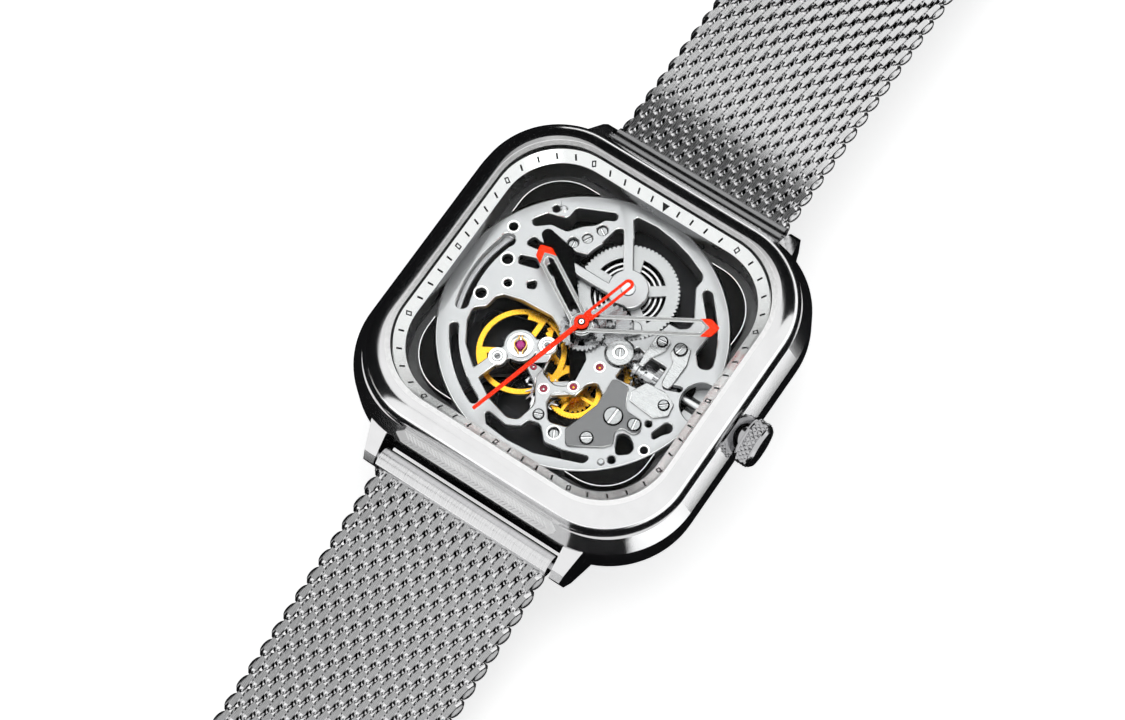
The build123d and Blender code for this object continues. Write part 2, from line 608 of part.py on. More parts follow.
def ratchet_wheel():
    pitch_r = split_radii(BARREL, CROWN_WHEEL, RATCHET_TEETH, CROWN_WHEEL_TEETH)[0]
    return toothed(BARREL, pitch_r, RATCHET_TEETH, RATCHET_Z, RATCHET_Z + 0.16, bore=0.62)


def crown_wheel():
    pitch_r = split_radii(BARREL, CROWN_WHEEL, RATCHET_TEETH, CROWN_WHEEL_TEETH)[1]
    angle = mesh_angle(BARREL, CROWN_WHEEL, RATCHET_TEETH, CROWN_WHEEL_TEETH, 0)
    return toothed(CROWN_WHEEL, pitch_r, CROWN_WHEEL_TEETH, RATCHET_Z, RATCHET_Z + 0.16, angle, bore=0.7)


def click():
    body = slab([(-5.6, 7.9), (-4.6, 8.3), (-3.59, 7.5), (-4.0, 7.1), (-5.5, 6.9)], RATCHET_Z, RATCHET_Z + 0.22)
    return body - disc(CLICK_PIVOT, POST_R + PLAY, 4, 6)


# ---------------------------------------------------------------- going train
CENTRE_TEETH, THIRD_LEAVES = 48, 6
THIRD_TEETH, FOURTH_LEAVES = 45, 6
FOURTH_TEETH, ESCAPE_LEAVES = 60, 6
SECONDS_TEETH, IDLER_TEETH = 20, 18
ESCAPE_TEETH = 15


def centre_wheel():
    leaves_r = split_radii(BARREL, CENTRE, BARREL_TEETH, CENTRE_LEAVES)[1]
    angle = mesh_angle(BARREL, CENTRE, BARREL_TEETH, CENTRE_LEAVES, 0)
    wheel_r = split_radii(CENTRE, THIRD, CENTRE_TEETH, THIRD_LEAVES)[0]
    body = spoked(CENTRE, wheel_r, CENTRE_TEETH, 5.5, 5.63, 0, 0.9, 5, 0.4)
    body += toothed(CENTRE, leaves_r, CENTRE_LEAVES, 6.78, 7.12, angle)
    body += disc(CENTRE, 0.32, 5.3, MINUTE_Z - 0.4)
    return body - disc(CENTRE, 0.17, 5, 11)


def third_wheel():
    leaves_r = split_radii(CENTRE, THIRD, CENTRE_TEETH, THIRD_LEAVES)[1]
    leaf_angle = mesh_angle(CENTRE, THIRD, CENTRE_TEETH, THIRD_LEAVES, 0)
    wheel_r = split_radii(THIRD, FOURTH, THIRD_TEETH, FOURTH_LEAVES)[0]
    body = spoked(THIRD, wheel_r, THIRD_TEETH, 5.15, 5.28, 0, 0.7, 4, 0.35)
    body += toothed(THIRD, leaves_r, THIRD_LEAVES, 5.28, 5.75, leaf_angle)
    return body + disc(THIRD, PIVOT_R, BRIDGE_TOP_Z - 0.3, PLATE_TOP_Z - 0.2)


def fourth_wheel():
    leaves_r = split_radii(THIRD, FOURTH, THIRD_TEETH, FOURTH_LEAVES)[1]
    leaf_angle = mesh_angle(THIRD, FOURTH, THIRD_TEETH, FOURTH_LEAVES, 0)
    wheel_r = split_radii(FOURTH, ESCAPE, FOURTH_TEETH, ESCAPE_LEAVES)[0]
    driver_r = split_radii(FOURTH, IDLER, SECONDS_TEETH, IDLER_TEETH)[0]
    body = spoked(FOURTH, wheel_r, FOURTH_TEETH, 6.3, 6.42, 0, 0.6, 4, 0.32)
    body += toothed(FOURTH, leaves_r, FOURTH_LEAVES, 5.1, 5.4, leaf_angle)
    body += toothed(FOURTH, driver_r, SECONDS_TEETH, SECONDS_TRAIN_Z, SECONDS_TRAIN_Z + 0.1, 0)
    return body + disc(FOURTH, PIVOT_R, BRIDGE_TOP_Z - 0.3, PLATE_TOP_Z - 0.2)


def seconds_idler():
    radius = split_radii(FOURTH, IDLER, SECONDS_TEETH, IDLER_TEETH)[1]
    angle = mesh_angle(FOURTH, IDLER, SECONDS_TEETH, IDLER_TEETH, 0)
    body = toothed(IDLER, radius, IDLER_TEETH, SECONDS_TRAIN_Z, SECONDS_TRAIN_Z + 0.1, angle)
    return body + disc(IDLER, PIVOT_R, BRIDGE_TOP_Z - 0.3, PLATE_TOP_Z - 0.2)


def seconds_wheel():
    idler_angle = mesh_angle(FOURTH, IDLER, SECONDS_TEETH, IDLER_TEETH, 0)
    radius = split_radii(IDLER, CENTRE, IDLER_TEETH, SECONDS_TEETH)[1]
    angle = mesh_angle(IDLER, CENTRE, IDLER_TEETH, SECONDS_TEETH, idler_angle)
    body = toothed(CENTRE, radius, SECONDS_TEETH, SECONDS_TRAIN_Z, SECONDS_TRAIN_Z + 0.1, angle)
    return body + disc(CENTRE, 0.13, BRIDGE_TOP_Z - 0.3, SECONDS_Z)


def escape_wheel():
    """Club-toothed wheel: each tooth leans forward and ends in a flat impulse face."""
    points = []
    step = 360 / ESCAPE_TEETH
    for i in range(ESCAPE_TEETH):
        start = i * step
        points.append(polar((0, 0), 1.4, start))
        points.append(polar((0, 0), 1.88, start + 0.5 * step))
        points.append(polar((0, 0), 1.98, start + 0.68 * step))
        points.append(polar((0, 0), 1.45, start + 0.45 * step))
    rim = Pos(0, 0, 6.6) * extrude(make_face(Polyline(*points, close=True)), 0.15)
    rim -= windows(1.15, 0.4, 4, 0.28, 6, 7)
    leaves_r = split_radii(FOURTH, ESCAPE, FOURTH_TEETH, ESCAPE_LEAVES)[1]
    angle = mesh_angle(FOURTH, ESCAPE, FOURTH_TEETH, ESCAPE_LEAVES, 0)
    body = at(ESCAPE) * rim + toothed(ESCAPE, leaves_r, ESCAPE_LEAVES, 6.2, 6.6, angle)
    return body + disc(ESCAPE, PIVOT_R, BRIDGE_TOP_Z - 0.3, PLATE_TOP_Z - 0.2)


def pallet_fork():
    """Two pallet arms towards the escape wheel and a forked lever towards the balance."""
    line = heading(PALLET, BALANCE)
    reach = distance(PALLET, BALANCE) - 0.55
    to_wheel = heading(PALLET, ESCAPE)
    body = disc((0, 0), 0.28, 6.6, 6.75)
    body += bar((0, 0), polar((0, 0), reach, line), 0.22, 6.6, 6.75)
    for side in (1, -1):
        tip = polar((0, 0), 1.3, to_wheel + side * 58)
        body += bar((0, 0), tip, 0.2, 6.6, 6.75)
        body += at(tip, 6.675) * Rot(0, 0, to_wheel + side * 8) * Box(0.4, 0.2, 0.15)
        horn = polar((0, 0), reach, line)
        body += bar(horn, polar(horn, 0.22, line + side * 40), 0.12, 6.6, 6.75)
    return at(PALLET) * (body + disc((0, 0), 0.09, BRIDGE_TOP_Z - 0.3, PLATE_TOP_Z - 0.2))


def balance_wheel():
    """Three-armed balance with inner rim weights, staff and roller."""
    body = pipe((0, 0), 4.7, 4.15, 5.95, 6.25) + disc((0, 0), 0.75, 5.95, 6.25)
    for i in range(3):
        body += bar((0, 0), polar((0, 0), 4.3, 90 + 120 * i), 0.6, 6.0, 6.2)
        weight = pipe((0, 0), 4.2, 3.6, 5.95, 6.25)
        wedge = make_face(Polyline((0, 0), polar((0, 0), 6, 206 + 120 * i), polar((0, 0), 6, 234 + 120 * i), close=True))
        body += weight & (Pos(0, 0, 5) * extrude(wedge, 2))
    body += disc((0, 0), 0.12, BRIDGE_TOP_Z - 0.3, WEB_Z + 0.3) + disc((0, 0), 0.28, 6.45, 6.85)
    return at(BALANCE) * body


def hairspring():
    return at(BALANCE) * (coil(0.5, 0.36, 4, 0.1, 5.35, 5.6) + pipe((0, 0), 0.55, 0.12, 5.35, 5.6))


# ---------------------------------------------------------------- motion works
CANNON_TEETH, MINUTE_WHEEL_TEETH = 8, 24
MINUTE_LEAVES, HOUR_TEETH = 8, 32
SETTING_TEETH = 14
MOTION_REACH = 2.9
HOUR_TUBE_R = 0.85


def minute_wheel_place():
    """Centre of the minute wheel: in mesh with both the cannon pinion and the setting wheel."""
    wheel_r = MOTION_REACH * MINUTE_WHEEL_TEETH / (MINUTE_WHEEL_TEETH + CANNON_TEETH)
    setting_r = wheel_r * SETTING_TEETH / MINUTE_WHEEL_TEETH
    far = distance(CENTRE, SETTING)
    opening = (MOTION_REACH ** 2 + far ** 2 - (wheel_r + setting_r) ** 2) / (2 * MOTION_REACH * far)
    turn = degrees(atan2(sqrt(1 - opening ** 2), opening))
    return polar(CENTRE, MOTION_REACH, heading(CENTRE, SETTING) + turn)


def cannon_pinion():
    radius = MOTION_REACH * CANNON_TEETH / (MINUTE_WHEEL_TEETH + CANNON_TEETH)
    body = toothed(CENTRE, radius, CANNON_TEETH, 7.7, 8.3)
    body += disc(CENTRE, 0.58, 8.3, MINUTE_Z + 0.05)
    return body - disc(CENTRE, 0.36, 7, 12)


def minute_wheel():
    place = minute_wheel_place()
    radius = MOTION_REACH * MINUTE_WHEEL_TEETH / (MINUTE_WHEEL_TEETH + CANNON_TEETH)
    angle = mesh_angle(CENTRE, place, CANNON_TEETH, MINUTE_WHEEL_TEETH, 0)
    body = toothed(place, radius, MINUTE_WHEEL_TEETH, 7.68, 7.88, angle)
    leaves_r = MOTION_REACH * MINUTE_LEAVES / (MINUTE_LEAVES + HOUR_TEETH)
    body += toothed(place, leaves_r, MINUTE_LEAVES, 7.88, 8.8, 0)
    return body - disc(place, 0.3 + PLAY, 7, 9)


def hour_wheel():
    place = minute_wheel_place()
    radius = MOTION_REACH * HOUR_TEETH / (MINUTE_LEAVES + HOUR_TEETH)
    angle = mesh_angle(place, CENTRE, MINUTE_LEAVES, HOUR_TEETH, 0)
    body = spoked(CENTRE, radius, HOUR_TEETH, 8.55, 8.75, angle, 1.1, 4, 0.45, 0.35)
    body += disc(CENTRE, HOUR_TUBE_R, 8.55, HOUR_Z + HAND_THICK)
    return body - disc(CENTRE, 0.58 + PLAY, 7, 12)


def setting_wheel():
    place = minute_wheel_place()
    wheel_r = MOTION_REACH * MINUTE_WHEEL_TEETH / (MINUTE_WHEEL_TEETH + CANNON_TEETH)
    radius = wheel_r * SETTING_TEETH / MINUTE_WHEEL_TEETH
    wheel_angle = mesh_angle(CENTRE, place, CANNON_TEETH, MINUTE_WHEEL_TEETH, 0)
    angle = mesh_angle(place, SETTING, MINUTE_WHEEL_TEETH, SETTING_TEETH, wheel_angle)
    body = toothed(SETTING, radius, SETTING_TEETH, 7.68, 7.88, angle)
    body += pipe(SETTING, 0.75, 0.4, 7.88, 8.2)
    return body - disc(SETTING, 0.3 + PLAY, 7, 9)


# ---------------------------------------------------------------- bridges and rotor
BRIDGE_R = PLATE_R / PLAN - 0.1
ROTOR_BOSS_R = 1.0


def barrel_bridge():
    body = disc(CENTRE, BRIDGE_R, BRIDGE_Z, BRIDGE_TOP_Z) & Pos(0, 10.4, 0) * Box(40, 20, 20)
    body -= disc(BARREL, 0.66, 0, 9)
    body += disc(CLICK_PIVOT, POST_R, BRIDGE_TOP_Z, RATCHET_Z + 0.3)
    return body - arc_slot(10.5, 2.2, 110, 165, 0, 9)


def train_bridge():
    body = disc(CENTRE, BRIDGE_R, BRIDGE_Z, BRIDGE_TOP_Z)
    body &= Pos(-3.0 + 10, -10, 0) * Box(20, 20.6, 20)
    body += disc(CENTRE, ROTOR_BOSS_R, BRIDGE_Z - 1.0, BRIDGE_Z) + disc(CENTRE, 1.6, BRIDGE_Z - 1.2, BRIDGE_Z - 1.0)
    for xy, radius in jewel_places():
        body -= disc(xy, PIVOT_R + PLAY, BRIDGE_Z, 9)
    body -= disc(CENTRE, 0.13 + PLAY, BRIDGE_Z, 9)
    return body + disc(CROWN_WHEEL, 0.66, BRIDGE_TOP_Z, RATCHET_Z + 0.2)


def balance_cock():
    """Cock from a foot at the plate's edge to the lower balance pivot."""
    body = slab([(-3.3, -3.2), (-3.3, -6.3), (-6.0, -8.0), (-8.0, -12.4), (-10.2, -11.2), (-12.3, -8.6), (-13.4, -5.8),
                 (-9.4, -3.4), (-6.0, -2.7)], BRIDGE_Z, BRIDGE_TOP_Z, 0.5)
    body += bar((-6.8, -4.0), (-7.0, -4.2), 0.5, BRIDGE_TOP_Z, 5.62)
    return body - disc(BALANCE, 0.16, 0, 9)


def rotor():
    """Half-moon winding weight with a heavy rim."""
    rim = pipe(CENTRE, 14.3, 12.0, 2.0, 3.5)
    web = disc(CENTRE, 12.2, 2.9, 3.15)
    lower_half = Pos(0, -10.2, 0) * Box(40, 20, 20)
    body = (rim + web) & lower_half
    for angle in (-145, -90, -35):
        body -= bar(polar(CENTRE, 5.2, angle), polar(CENTRE, 9.6, angle), 3.0, 0, 9)
    body += disc(CENTRE, 2.4, 2.8, 3.3)
    body -= disc(CENTRE, ROTOR_BOSS_R + PLAY, 0, 9)
    return Rot(0, 0, -18) * body


# ---------------------------------------------------------------- hands
def open_hand(length, angle, z, hub_r, bore, half_width):
    """Two rails from a round hub to a notched arrow tip."""
    rail = 0.44
    back = length - 2.0
    tip = slab([(back, half_width), (back, half_width - rail), (length - 1.6, 0.1), (length - 1.6, -0.1),
                (back, rail - half_width), (back, -half_width), (length - 0.9, -half_width), (length - 0.35, -0.42),
                (length, 0), (length - 0.35, 0.42), (length - 0.9, half_width)], 0, HAND_THICK)
    body = tip + disc((0, 0), hub_r, 0, HAND_THICK)
    for side in (1, -1):
        body += slab([(0, side * half_width), (back + 0.01, side * half_width), (back + 0.01, side * (half_width - rail)),
                      (0, side * (half_width - rail))], 0, HAND_THICK)
    return Pos(0, 0, z) * Rot(0, 0, angle) * (body - disc((0, 0), bore, -1, 1))


def hour_hand():
    return open_hand(HOUR_LEN, HOUR_ANGLE, HOUR_Z, 1.25, HOUR_TUBE_R, 0.95)


def minute_hand():
    return open_hand(MINUTE_LEN, MINUTE_ANGLE, MINUTE_Z, 1.15, 0.58, 0.98)


def seconds_hand():
    needle = slab([(0, 0.3), (SECONDS_LEN, 0.2), (SECONDS_LEN, -0.2), (0, -0.3)], 0, HAND_THICK * 0.7)
    tail = bar((-1.0, 0), (-6.3, 0), 1.15, 0, HAND_THICK * 0.7) - bar((-1.6, 0), (-6.25, 0), 0.5, -1, 1)
    body = needle + tail + disc((0, 0), 0.78, 0, HAND_THICK)
    return Pos(0, 0, SECONDS_Z) * Rot(0, 0, SECONDS_ANGLE) * body


# ---------------------------------------------------------------- strap and clasp
def cross_bar(y, z, radius, half_length):
    """A round bar along X, centred on the watch."""
    return Pos(0, y, z) * Rot(0, 90, 0) * extrude(Circle(radius), half_length, both=True)


def band(points, bends):
    """A flat strap of even thickness along a bent middle line."""
    path = FilletPolyline(*points, radius=bends)
    face = Plane.YZ * trace(path, STRAP_THICK)
    return extrude(face, STRAP_WIDTH / 2, both=True)


def mesh_12():
    return band(STRAP_12, STRAP_12_BENDS) - cross_bar(BAR_Y, BAR_Z, END_BAR_R, STRAP_WIDTH)


def mesh_6():
    body = band(STRAP_6, STRAP_6_BENDS) - cross_bar(-BAR_Y, BAR_Z, END_BAR_R, STRAP_WIDTH)
    corners = body.edges().filter_by(Axis.Z).group_by(Axis.Y)[0]
    return fillet(corners, STRAP_TIP_R)


def strap_end(end):
    """Round end bar that turns on the spring bar."""
    body = cross_bar(end * BAR_Y, BAR_Z, END_BAR_R, STRAP_WIDTH / 2)
    return body - cross_bar(end * BAR_Y, BAR_Z, SPRING_BAR_R + STRAP_CLEAR, LUG_GAP)


def strap_end_12():
    return strap_end(1)


def strap_end_6():
    return strap_end(-1)


def spring_bars():
    bars = []
    for end in (1, -1):
        body = cross_bar(end * BAR_Y, BAR_Z, SPRING_BAR_R, LUG_GAP / 2 - 0.1)
        bars.append(body + cross_bar(end * BAR_Y, BAR_Z, SPRING_BAR_TIP_R, LUG_GAP / 2 + 0.6))
    return bars


def catch_bar_12():
    """End cap of the 12 side with the bar that the clasp hooks over."""
    tip = STRAP_12[-1]
    slope = heading(STRAP_12[-2], tip)
    cap = Pos(0, 0.2, 0) * Box(STRAP_WIDTH + 0.8, 2.4, STRAP_THICK + 0.8)
    cap += cross_bar(CATCH_REACH, 0, CATCH_BAR_R, STRAP_WIDTH / 2)
    for side in (1, -1):
        cap += Pos(side * (STRAP_WIDTH / 2 - 0.7), CATCH_REACH / 2 + 0.5, 0) * Box(1.4, CATCH_REACH - 1, 1.3)
    placed = Pos(0, tip[0], tip[1]) * Rot(slope, 0, 0) * cap
    return placed - band(STRAP_12, STRAP_12_BENDS)


CLASP_Z = STRAP_6[-1][1]
CLASP_HALF_HEIGHT = STRAP_THICK / 2 + CLASP_CLEAR + CLASP_WALL
CLASP_HALF_WIDTH = STRAP_WIDTH / 2 + CLASP_CLEAR + CLASP_WALL
HINGE_Y = CLASP_Y + CLASP_LENGTH / 2 + CLASP_KNUCKLE_R + 0.1
HINGE_Z = CLASP_Z + CLASP_HALF_HEIGHT + 0.4
KNUCKLE_SPLIT = 0.6 * CLASP_HALF_WIDTH


def clasp_knuckle(x0, x1):
    """One round knuckle of the clasp hinge between two places along X."""
    return Pos(x0, HINGE_Y, HINGE_Z) * Rot(0, 90, 0) * extrude(Circle(CLASP_KNUCKLE_R), x1 - x0)


def clasp_pin():
    return cross_bar(HINGE_Y, HINGE_Z, CLASP_PIN_R, CLASP_HALF_WIDTH)


def clasp_body():
    """Sleeve that slides along the 6 side, with the outer knuckles of its hinge."""
    body = Box(2 * CLASP_HALF_WIDTH, CLASP_LENGTH, 2 * CLASP_HALF_HEIGHT)
    body = fillet(body.edges().filter_by(Axis.Y), 0.5)
    body -= Box(STRAP_WIDTH + 2 * CLASP_CLEAR, CLASP_LENGTH + 2, STRAP_THICK + 2 * CLASP_CLEAR)
    body = Pos(0, CLASP_Y, CLASP_Z) * body
    run = CLASP_HALF_WIDTH - KNUCKLE_SPLIT
    for side in (1, -1):
        middle = side * (KNUCKLE_SPLIT + run / 2)
        body += clasp_knuckle(middle - run / 2, middle + run / 2)
        body += Pos(middle, HINGE_Y - CLASP_KNUCKLE_R, CLASP_Z + CLASP_HALF_HEIGHT - CLASP_WALL / 2) * Box(
            run, 2 * CLASP_KNUCKLE_R, CLASP_WALL)
    return body - clasp_pin()


def clasp_cover():
    """Fold-over plate with the middle knuckle at one end and a claw at the other."""
    low = CLASP_Z + CLASP_HALF_HEIGHT + 0.05
    far = CLASP_Y - CLASP_LENGTH / 2 - 1.2
    near = HINGE_Y - CLASP_KNUCKLE_R - 0.1
    plate = Pos(0, (far + near) / 2, low + COVER_THICK / 2) * Box(2 * CLASP_HALF_WIDTH, near - far, COVER_THICK)
    plate = fillet(plate.edges().filter_by(Axis.Y).group_by(Axis.Z)[-1], 0.4)
    plate += Pos(0, far + 0.4, low - 0.3) * Box(9, 0.8, 0.9)
    plate += clasp_knuckle(0.05 - KNUCKLE_SPLIT, KNUCKLE_SPLIT - 0.05)
    plate += Pos(0, near, low + COVER_THICK / 2) * Box(2 * KNUCKLE_SPLIT - 0.1, 1.2, COVER_THICK)
    return plate - cross_bar(HINGE_Y, HINGE_Z, CLASP_PIN_R + PLAY, CLASP_HALF_WIDTH)


def to_plate(shape):
    """A movement piece with its plan fitted to the plate."""
    if PLAN == 1:
        return shape
    return [scale(s, by=(PLAN, PLAN, 1)) for s in shape] if isinstance(shape, list) else scale(shape, by=(PLAN, PLAN, 1))


CASE_PIECES = [
    case_middle, bezel, crystal, crystal_gasket, flange_ring, casing_ring, side_grips, case_back, case_back_gasket,
    case_back_crystal, crown_tube, crown, crown_gasket,
]
MOVEMENT_PIECES = [
    winding_stem, winding_pinion, sliding_pinion, setting_lever, yoke, lever_spring, main_plate, cover_plate,
    train_jewels, shock_setting, barrel_drum, mainspring, barrel_arbor, ratchet_wheel, crown_wheel, click,
    centre_wheel, third_wheel, fourth_wheel, seconds_idler, seconds_wheel, escape_wheel, pallet_fork, balance_wheel,
    hairspring, cannon_pinion, minute_wheel, hour_wheel, setting_wheel, barrel_bridge, train_bridge, balance_cock,
    rotor, hour_hand, minute_hand, seconds_hand,
]
STRAP_PIECES = [
    spring_bars, strap_end_12, strap_end_6, mesh_12, mesh_6, catch_bar_12, clasp_body, clasp_pin, clasp_cover,
]

for make in CASE_PIECES + STRAP_PIECES:
    save(make.__name__, make())
for make in MOVEMENT_PIECES:
    save(make.__name__, to_plate(make()))
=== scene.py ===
from math import atan2, cos, degrees, pi, radians, sin
import bpy
from mathutils import Matrix, Vector


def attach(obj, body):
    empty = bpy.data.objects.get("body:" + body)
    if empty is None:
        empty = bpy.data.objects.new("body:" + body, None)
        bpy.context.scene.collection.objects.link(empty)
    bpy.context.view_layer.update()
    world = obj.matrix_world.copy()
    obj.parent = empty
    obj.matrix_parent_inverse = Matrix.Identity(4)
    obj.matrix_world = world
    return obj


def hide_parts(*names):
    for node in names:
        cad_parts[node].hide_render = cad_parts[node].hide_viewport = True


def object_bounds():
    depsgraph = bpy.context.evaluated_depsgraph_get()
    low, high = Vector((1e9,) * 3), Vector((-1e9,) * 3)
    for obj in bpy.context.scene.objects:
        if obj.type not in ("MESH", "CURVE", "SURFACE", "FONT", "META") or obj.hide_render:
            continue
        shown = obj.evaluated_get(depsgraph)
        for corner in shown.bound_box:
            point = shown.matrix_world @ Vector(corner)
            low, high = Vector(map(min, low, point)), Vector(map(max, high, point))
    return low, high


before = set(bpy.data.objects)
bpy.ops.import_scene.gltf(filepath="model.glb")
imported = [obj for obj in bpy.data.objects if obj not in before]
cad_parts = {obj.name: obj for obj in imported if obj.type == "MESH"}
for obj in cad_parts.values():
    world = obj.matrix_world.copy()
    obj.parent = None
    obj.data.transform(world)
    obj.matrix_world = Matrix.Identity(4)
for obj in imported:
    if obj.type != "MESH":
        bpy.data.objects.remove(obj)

cad_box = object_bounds()
MM = 0.001


# ------------------------------------------------------------------ table, light and camera
# The watch lies face up on a pale table that it touches with its strap, under a large soft light and a small
# one. Dark cards stand and lie round it, and only its polished metal and its glass show them.
TABLE_WHITE = (0.93, 0.93, 0.925, 1)
TABLE_GLOW = (0.62, 0.62, 0.62, 1)
TABLE_SIZE = 6
CARD_BLACK = (0.012, 0.012, 0.013, 1)
SKY_GREY = (0.45, 0.455, 0.46, 1)
SKY_WHITE = (1, 1, 1, 1)
# Standing cards, bent round the watch: height in metres, first and last bearing in degrees
CARD_RADIUS = 0.16
STANDING_CARDS = (("card_far", 0.3, 125, 235), ("card_near", 0.05, 235, 420))
# Flat cards: middle and two widths in millimetres, tilt in degrees, and whether they show through the glasses.
# Three lie on the table, under the case, under the strap and off the corner below the crown. One hangs over
# the far left, and one stands above the upper strap.
FLAT_CARDS = (("card_under", (-50, 40, 0.1), (220, 240), 0, True),
              ("card_strap", (0, -15, 0.05), (26, 240), 0, False),
              ("card_corner", (60, -92, 0.15), (122, 66), 0, False),
              ("card_left", (-73, 70, 119), (55, 104), 0, False),
              ("card_top", (-3, 32, 42), (86, 42), 90, False))
# Lamps: place and width in metres, and power in watts
LAMPS = (("soft_top", (-0.12, 0.10, 0.55), 0.5, 0.9), ("soft_side", (0.45, -0.35, 0.40), 0.3, 0.4))
CAMERA_AIM = Vector((0, 0, 0.0106))
CAMERA_REACH = 0.34
CAMERA_RIGHT = Vector((0.8267, 0.5615, -0.0373))
CAMERA_UP = Vector((-0.5123, 0.7784, 0.3628))
CAMERA_BACK = Vector((0.2328, -0.2808, 0.9311))


def join(tree, source, socket, target, plug):
    tree.links.new(source.outputs[socket], target.inputs[plug])


def reckon(tree, operation, *values):
    # a math node on numbers and on the outputs of other nodes, each given as (node, socket)
    node = tree.nodes.new("ShaderNodeMath")
    node.operation = operation
    for plug, value in enumerate(values):
        if isinstance(value, tuple):
            join(tree, *value, node, plug)
        else:
            node.inputs[plug].default_value = value
    return node, 0


def mix_tones(tree, factor, first, second):
    # goes from the first tone to the second; a tone is a colour or an output given as (node, socket)
    mixed = tree.nodes.new("ShaderNodeMix")
    mixed.data_type = "RGBA"
    join(tree, *factor, mixed, "Factor")
    for plug, tone in (("A", first), ("B", second)):
        if isinstance(tone, tuple) and len(tone) == 2:
            join(tree, *tone, mixed, plug)
        else:
            mixed.inputs[plug].default_value = tone
    return mixed, "Result"


def seen_ray(tree):
    # 1 where the camera, a reflection or a view through glass sees the surface
    path = tree.nodes.new("ShaderNodeLightPath")
    direct = reckon(tree, "MAXIMUM", (path, "Is Camera Ray"), (path, "Is Glossy Ray"))
    return reckon(tree, "MAXIMUM", direct, (path, "Is Transmission Ray"))


def new_material(name, roughness):
    # a material with its node tree and its shader
    material = bpy.data.materials.new(name)
    material.use_nodes = True
    surface = material.node_tree.nodes["Principled BSDF"]
    surface.inputs["Roughness"].default_value = roughness
    return material, material.node_tree, surface


sky = bpy.data.worlds.new("studio_sky")
sky.use_nodes = True
bpy.context.scene.world = sky
tree = sky.node_tree
backdrop = tree.nodes["Background"]
join(tree, *mix_tones(tree, seen_ray(tree), SKY_GREY, SKY_WHITE), backdrop, "Color")
backdrop.inputs["Strength"].default_value = 1

floor_z = cad_box[0][2]
bpy.ops.object.select_all(action="DESELECT")
bpy.ops.mesh.primitive_plane_add(size=TABLE_SIZE, location=(0, 0, floor_z))
table = bpy.context.object
table.name = "table"
white_top, tree, surface = new_material("table_white", 0.7)
surface.inputs["Base Color"].default_value = TABLE_WHITE
join(tree, *mix_tones(tree, seen_ray(tree), (0, 0, 0, 1), TABLE_GLOW), surface, "Emission Color")
surface.inputs["Emission Strength"].default_value = 1
table.data.materials.append(white_top)

card_paint, tree, surface = new_material("card_black", 0.9)
surface.inputs["Base Color"].default_value = CARD_BLACK
surface.inputs["Specular IOR Level"].default_value = 0


def finish_card(card, name, through_glass=False):
    # painted black, and seen by nothing but reflections, and by the glasses if they look through to it
    card.name = name
    card.data.materials.append(card_paint)
    card.visible_camera = False
    card.visible_diffuse = False
    card.visible_transmission = through_glass
    card.visible_shadow = False


for name, height, first, last in STANDING_CARDS:
    bpy.ops.object.select_all(action="DESELECT")
    bpy.ops.mesh.primitive_circle_add(vertices=72, radius=CARD_RADIUS, location=(0, 0, floor_z))
    card = bpy.context.object
    bpy.ops.object.mode_set(mode="EDIT")
    bpy.ops.mesh.select_all(action="SELECT")
    bpy.ops.mesh.extrude_region_move(TRANSFORM_OT_translate={"value": (0, 0, height)})
    bpy.ops.object.mode_set(mode="OBJECT")
    for face in card.data.polygons:
        bearing = degrees(atan2(face.center.y, face.center.x)) % 360
        face.select = not (first <= bearing <= last or first <= bearing + 360 <= last)
    bpy.ops.object.mode_set(mode="EDIT")
    bpy.ops.mesh.select_mode(type="FACE")
    bpy.ops.mesh.delete(type="FACE")
    bpy.ops.object.mode_set(mode="OBJECT")
    finish_card(card, name)
for name, middle, widths, tilt, through_glass in FLAT_CARDS:
    bpy.ops.object.select_all(action="DESELECT")
    bpy.ops.mesh.primitive_plane_add(size=MM, location=Vector(middle) * MM + Vector((0, 0, floor_z)))
    card = bpy.context.object
    card.scale = (*widths, 1)
    card.rotation_euler.x = radians(tilt)
    finish_card(card, name, through_glass)

for name, place, width, power in LAMPS:
    lamp_data = bpy.data.lights.new(name, "AREA")
    lamp_data.size = width
    lamp_data.energy = power
    lamp = bpy.data.objects.new(name, lamp_data)
    bpy.context.scene.collection.objects.link(lamp)
    lamp.location = place
    # the cards cast no shadow, so a lamp that reflections saw would shine through them
    lamp.visible_glossy = False
    lamp.rotation_euler = (-Vector(place)).to_track_quat("-Z", "Y").to_euler()

lens = bpy.data.cameras.new("camera")
lens.sensor_width = 36
lens.lens = 106.27
lens.shift_x = -0.0171
lens.shift_y = -0.0328
lens.clip_start = 0.01
lens.clip_end = 10
camera = bpy.data.objects.new("camera", lens)
bpy.context.scene.collection.objects.link(camera)
camera_turn = Matrix((CAMERA_RIGHT, CAMERA_UP, CAMERA_BACK)).transposed().to_4x4()
camera.matrix_world = Matrix.Translation(CAMERA_AIM + CAMERA_REACH * CAMERA_BACK) @ camera_turn
bpy.context.scene.camera = camera
bpy.context.scene.view_settings.view_transform = "Standard"


# ------------------------------------------------------------------ case middle
# The case is milled from one block of stainless steel with its four lugs, and polished bright all over,
# with the soft marks that handling leaves.
STEEL = (0.86, 0.86, 0.865, 1)
GRAIN_SHADE = (0.25, 0.25, 0.26, 1)


def new_group(name, inputs, outputs):
    # an empty shader node group with named sockets, and its two end nodes
    group = bpy.data.node_groups.new(name, "ShaderNodeTree")
    for socket, kind, value in (("Vector", "Vector", None), *inputs):
        made = group.interface.new_socket(socket, in_out="INPUT", socket_type="NodeSocket" + kind)
        if value is not None:
            made.default_value = value
    for socket, kind in outputs:
        group.interface.new_socket(socket, in_out="OUTPUT", socket_type="NodeSocket" + kind)
    return group, group.nodes.new("NodeGroupInput"), group.nodes.new("NodeGroupOutput")


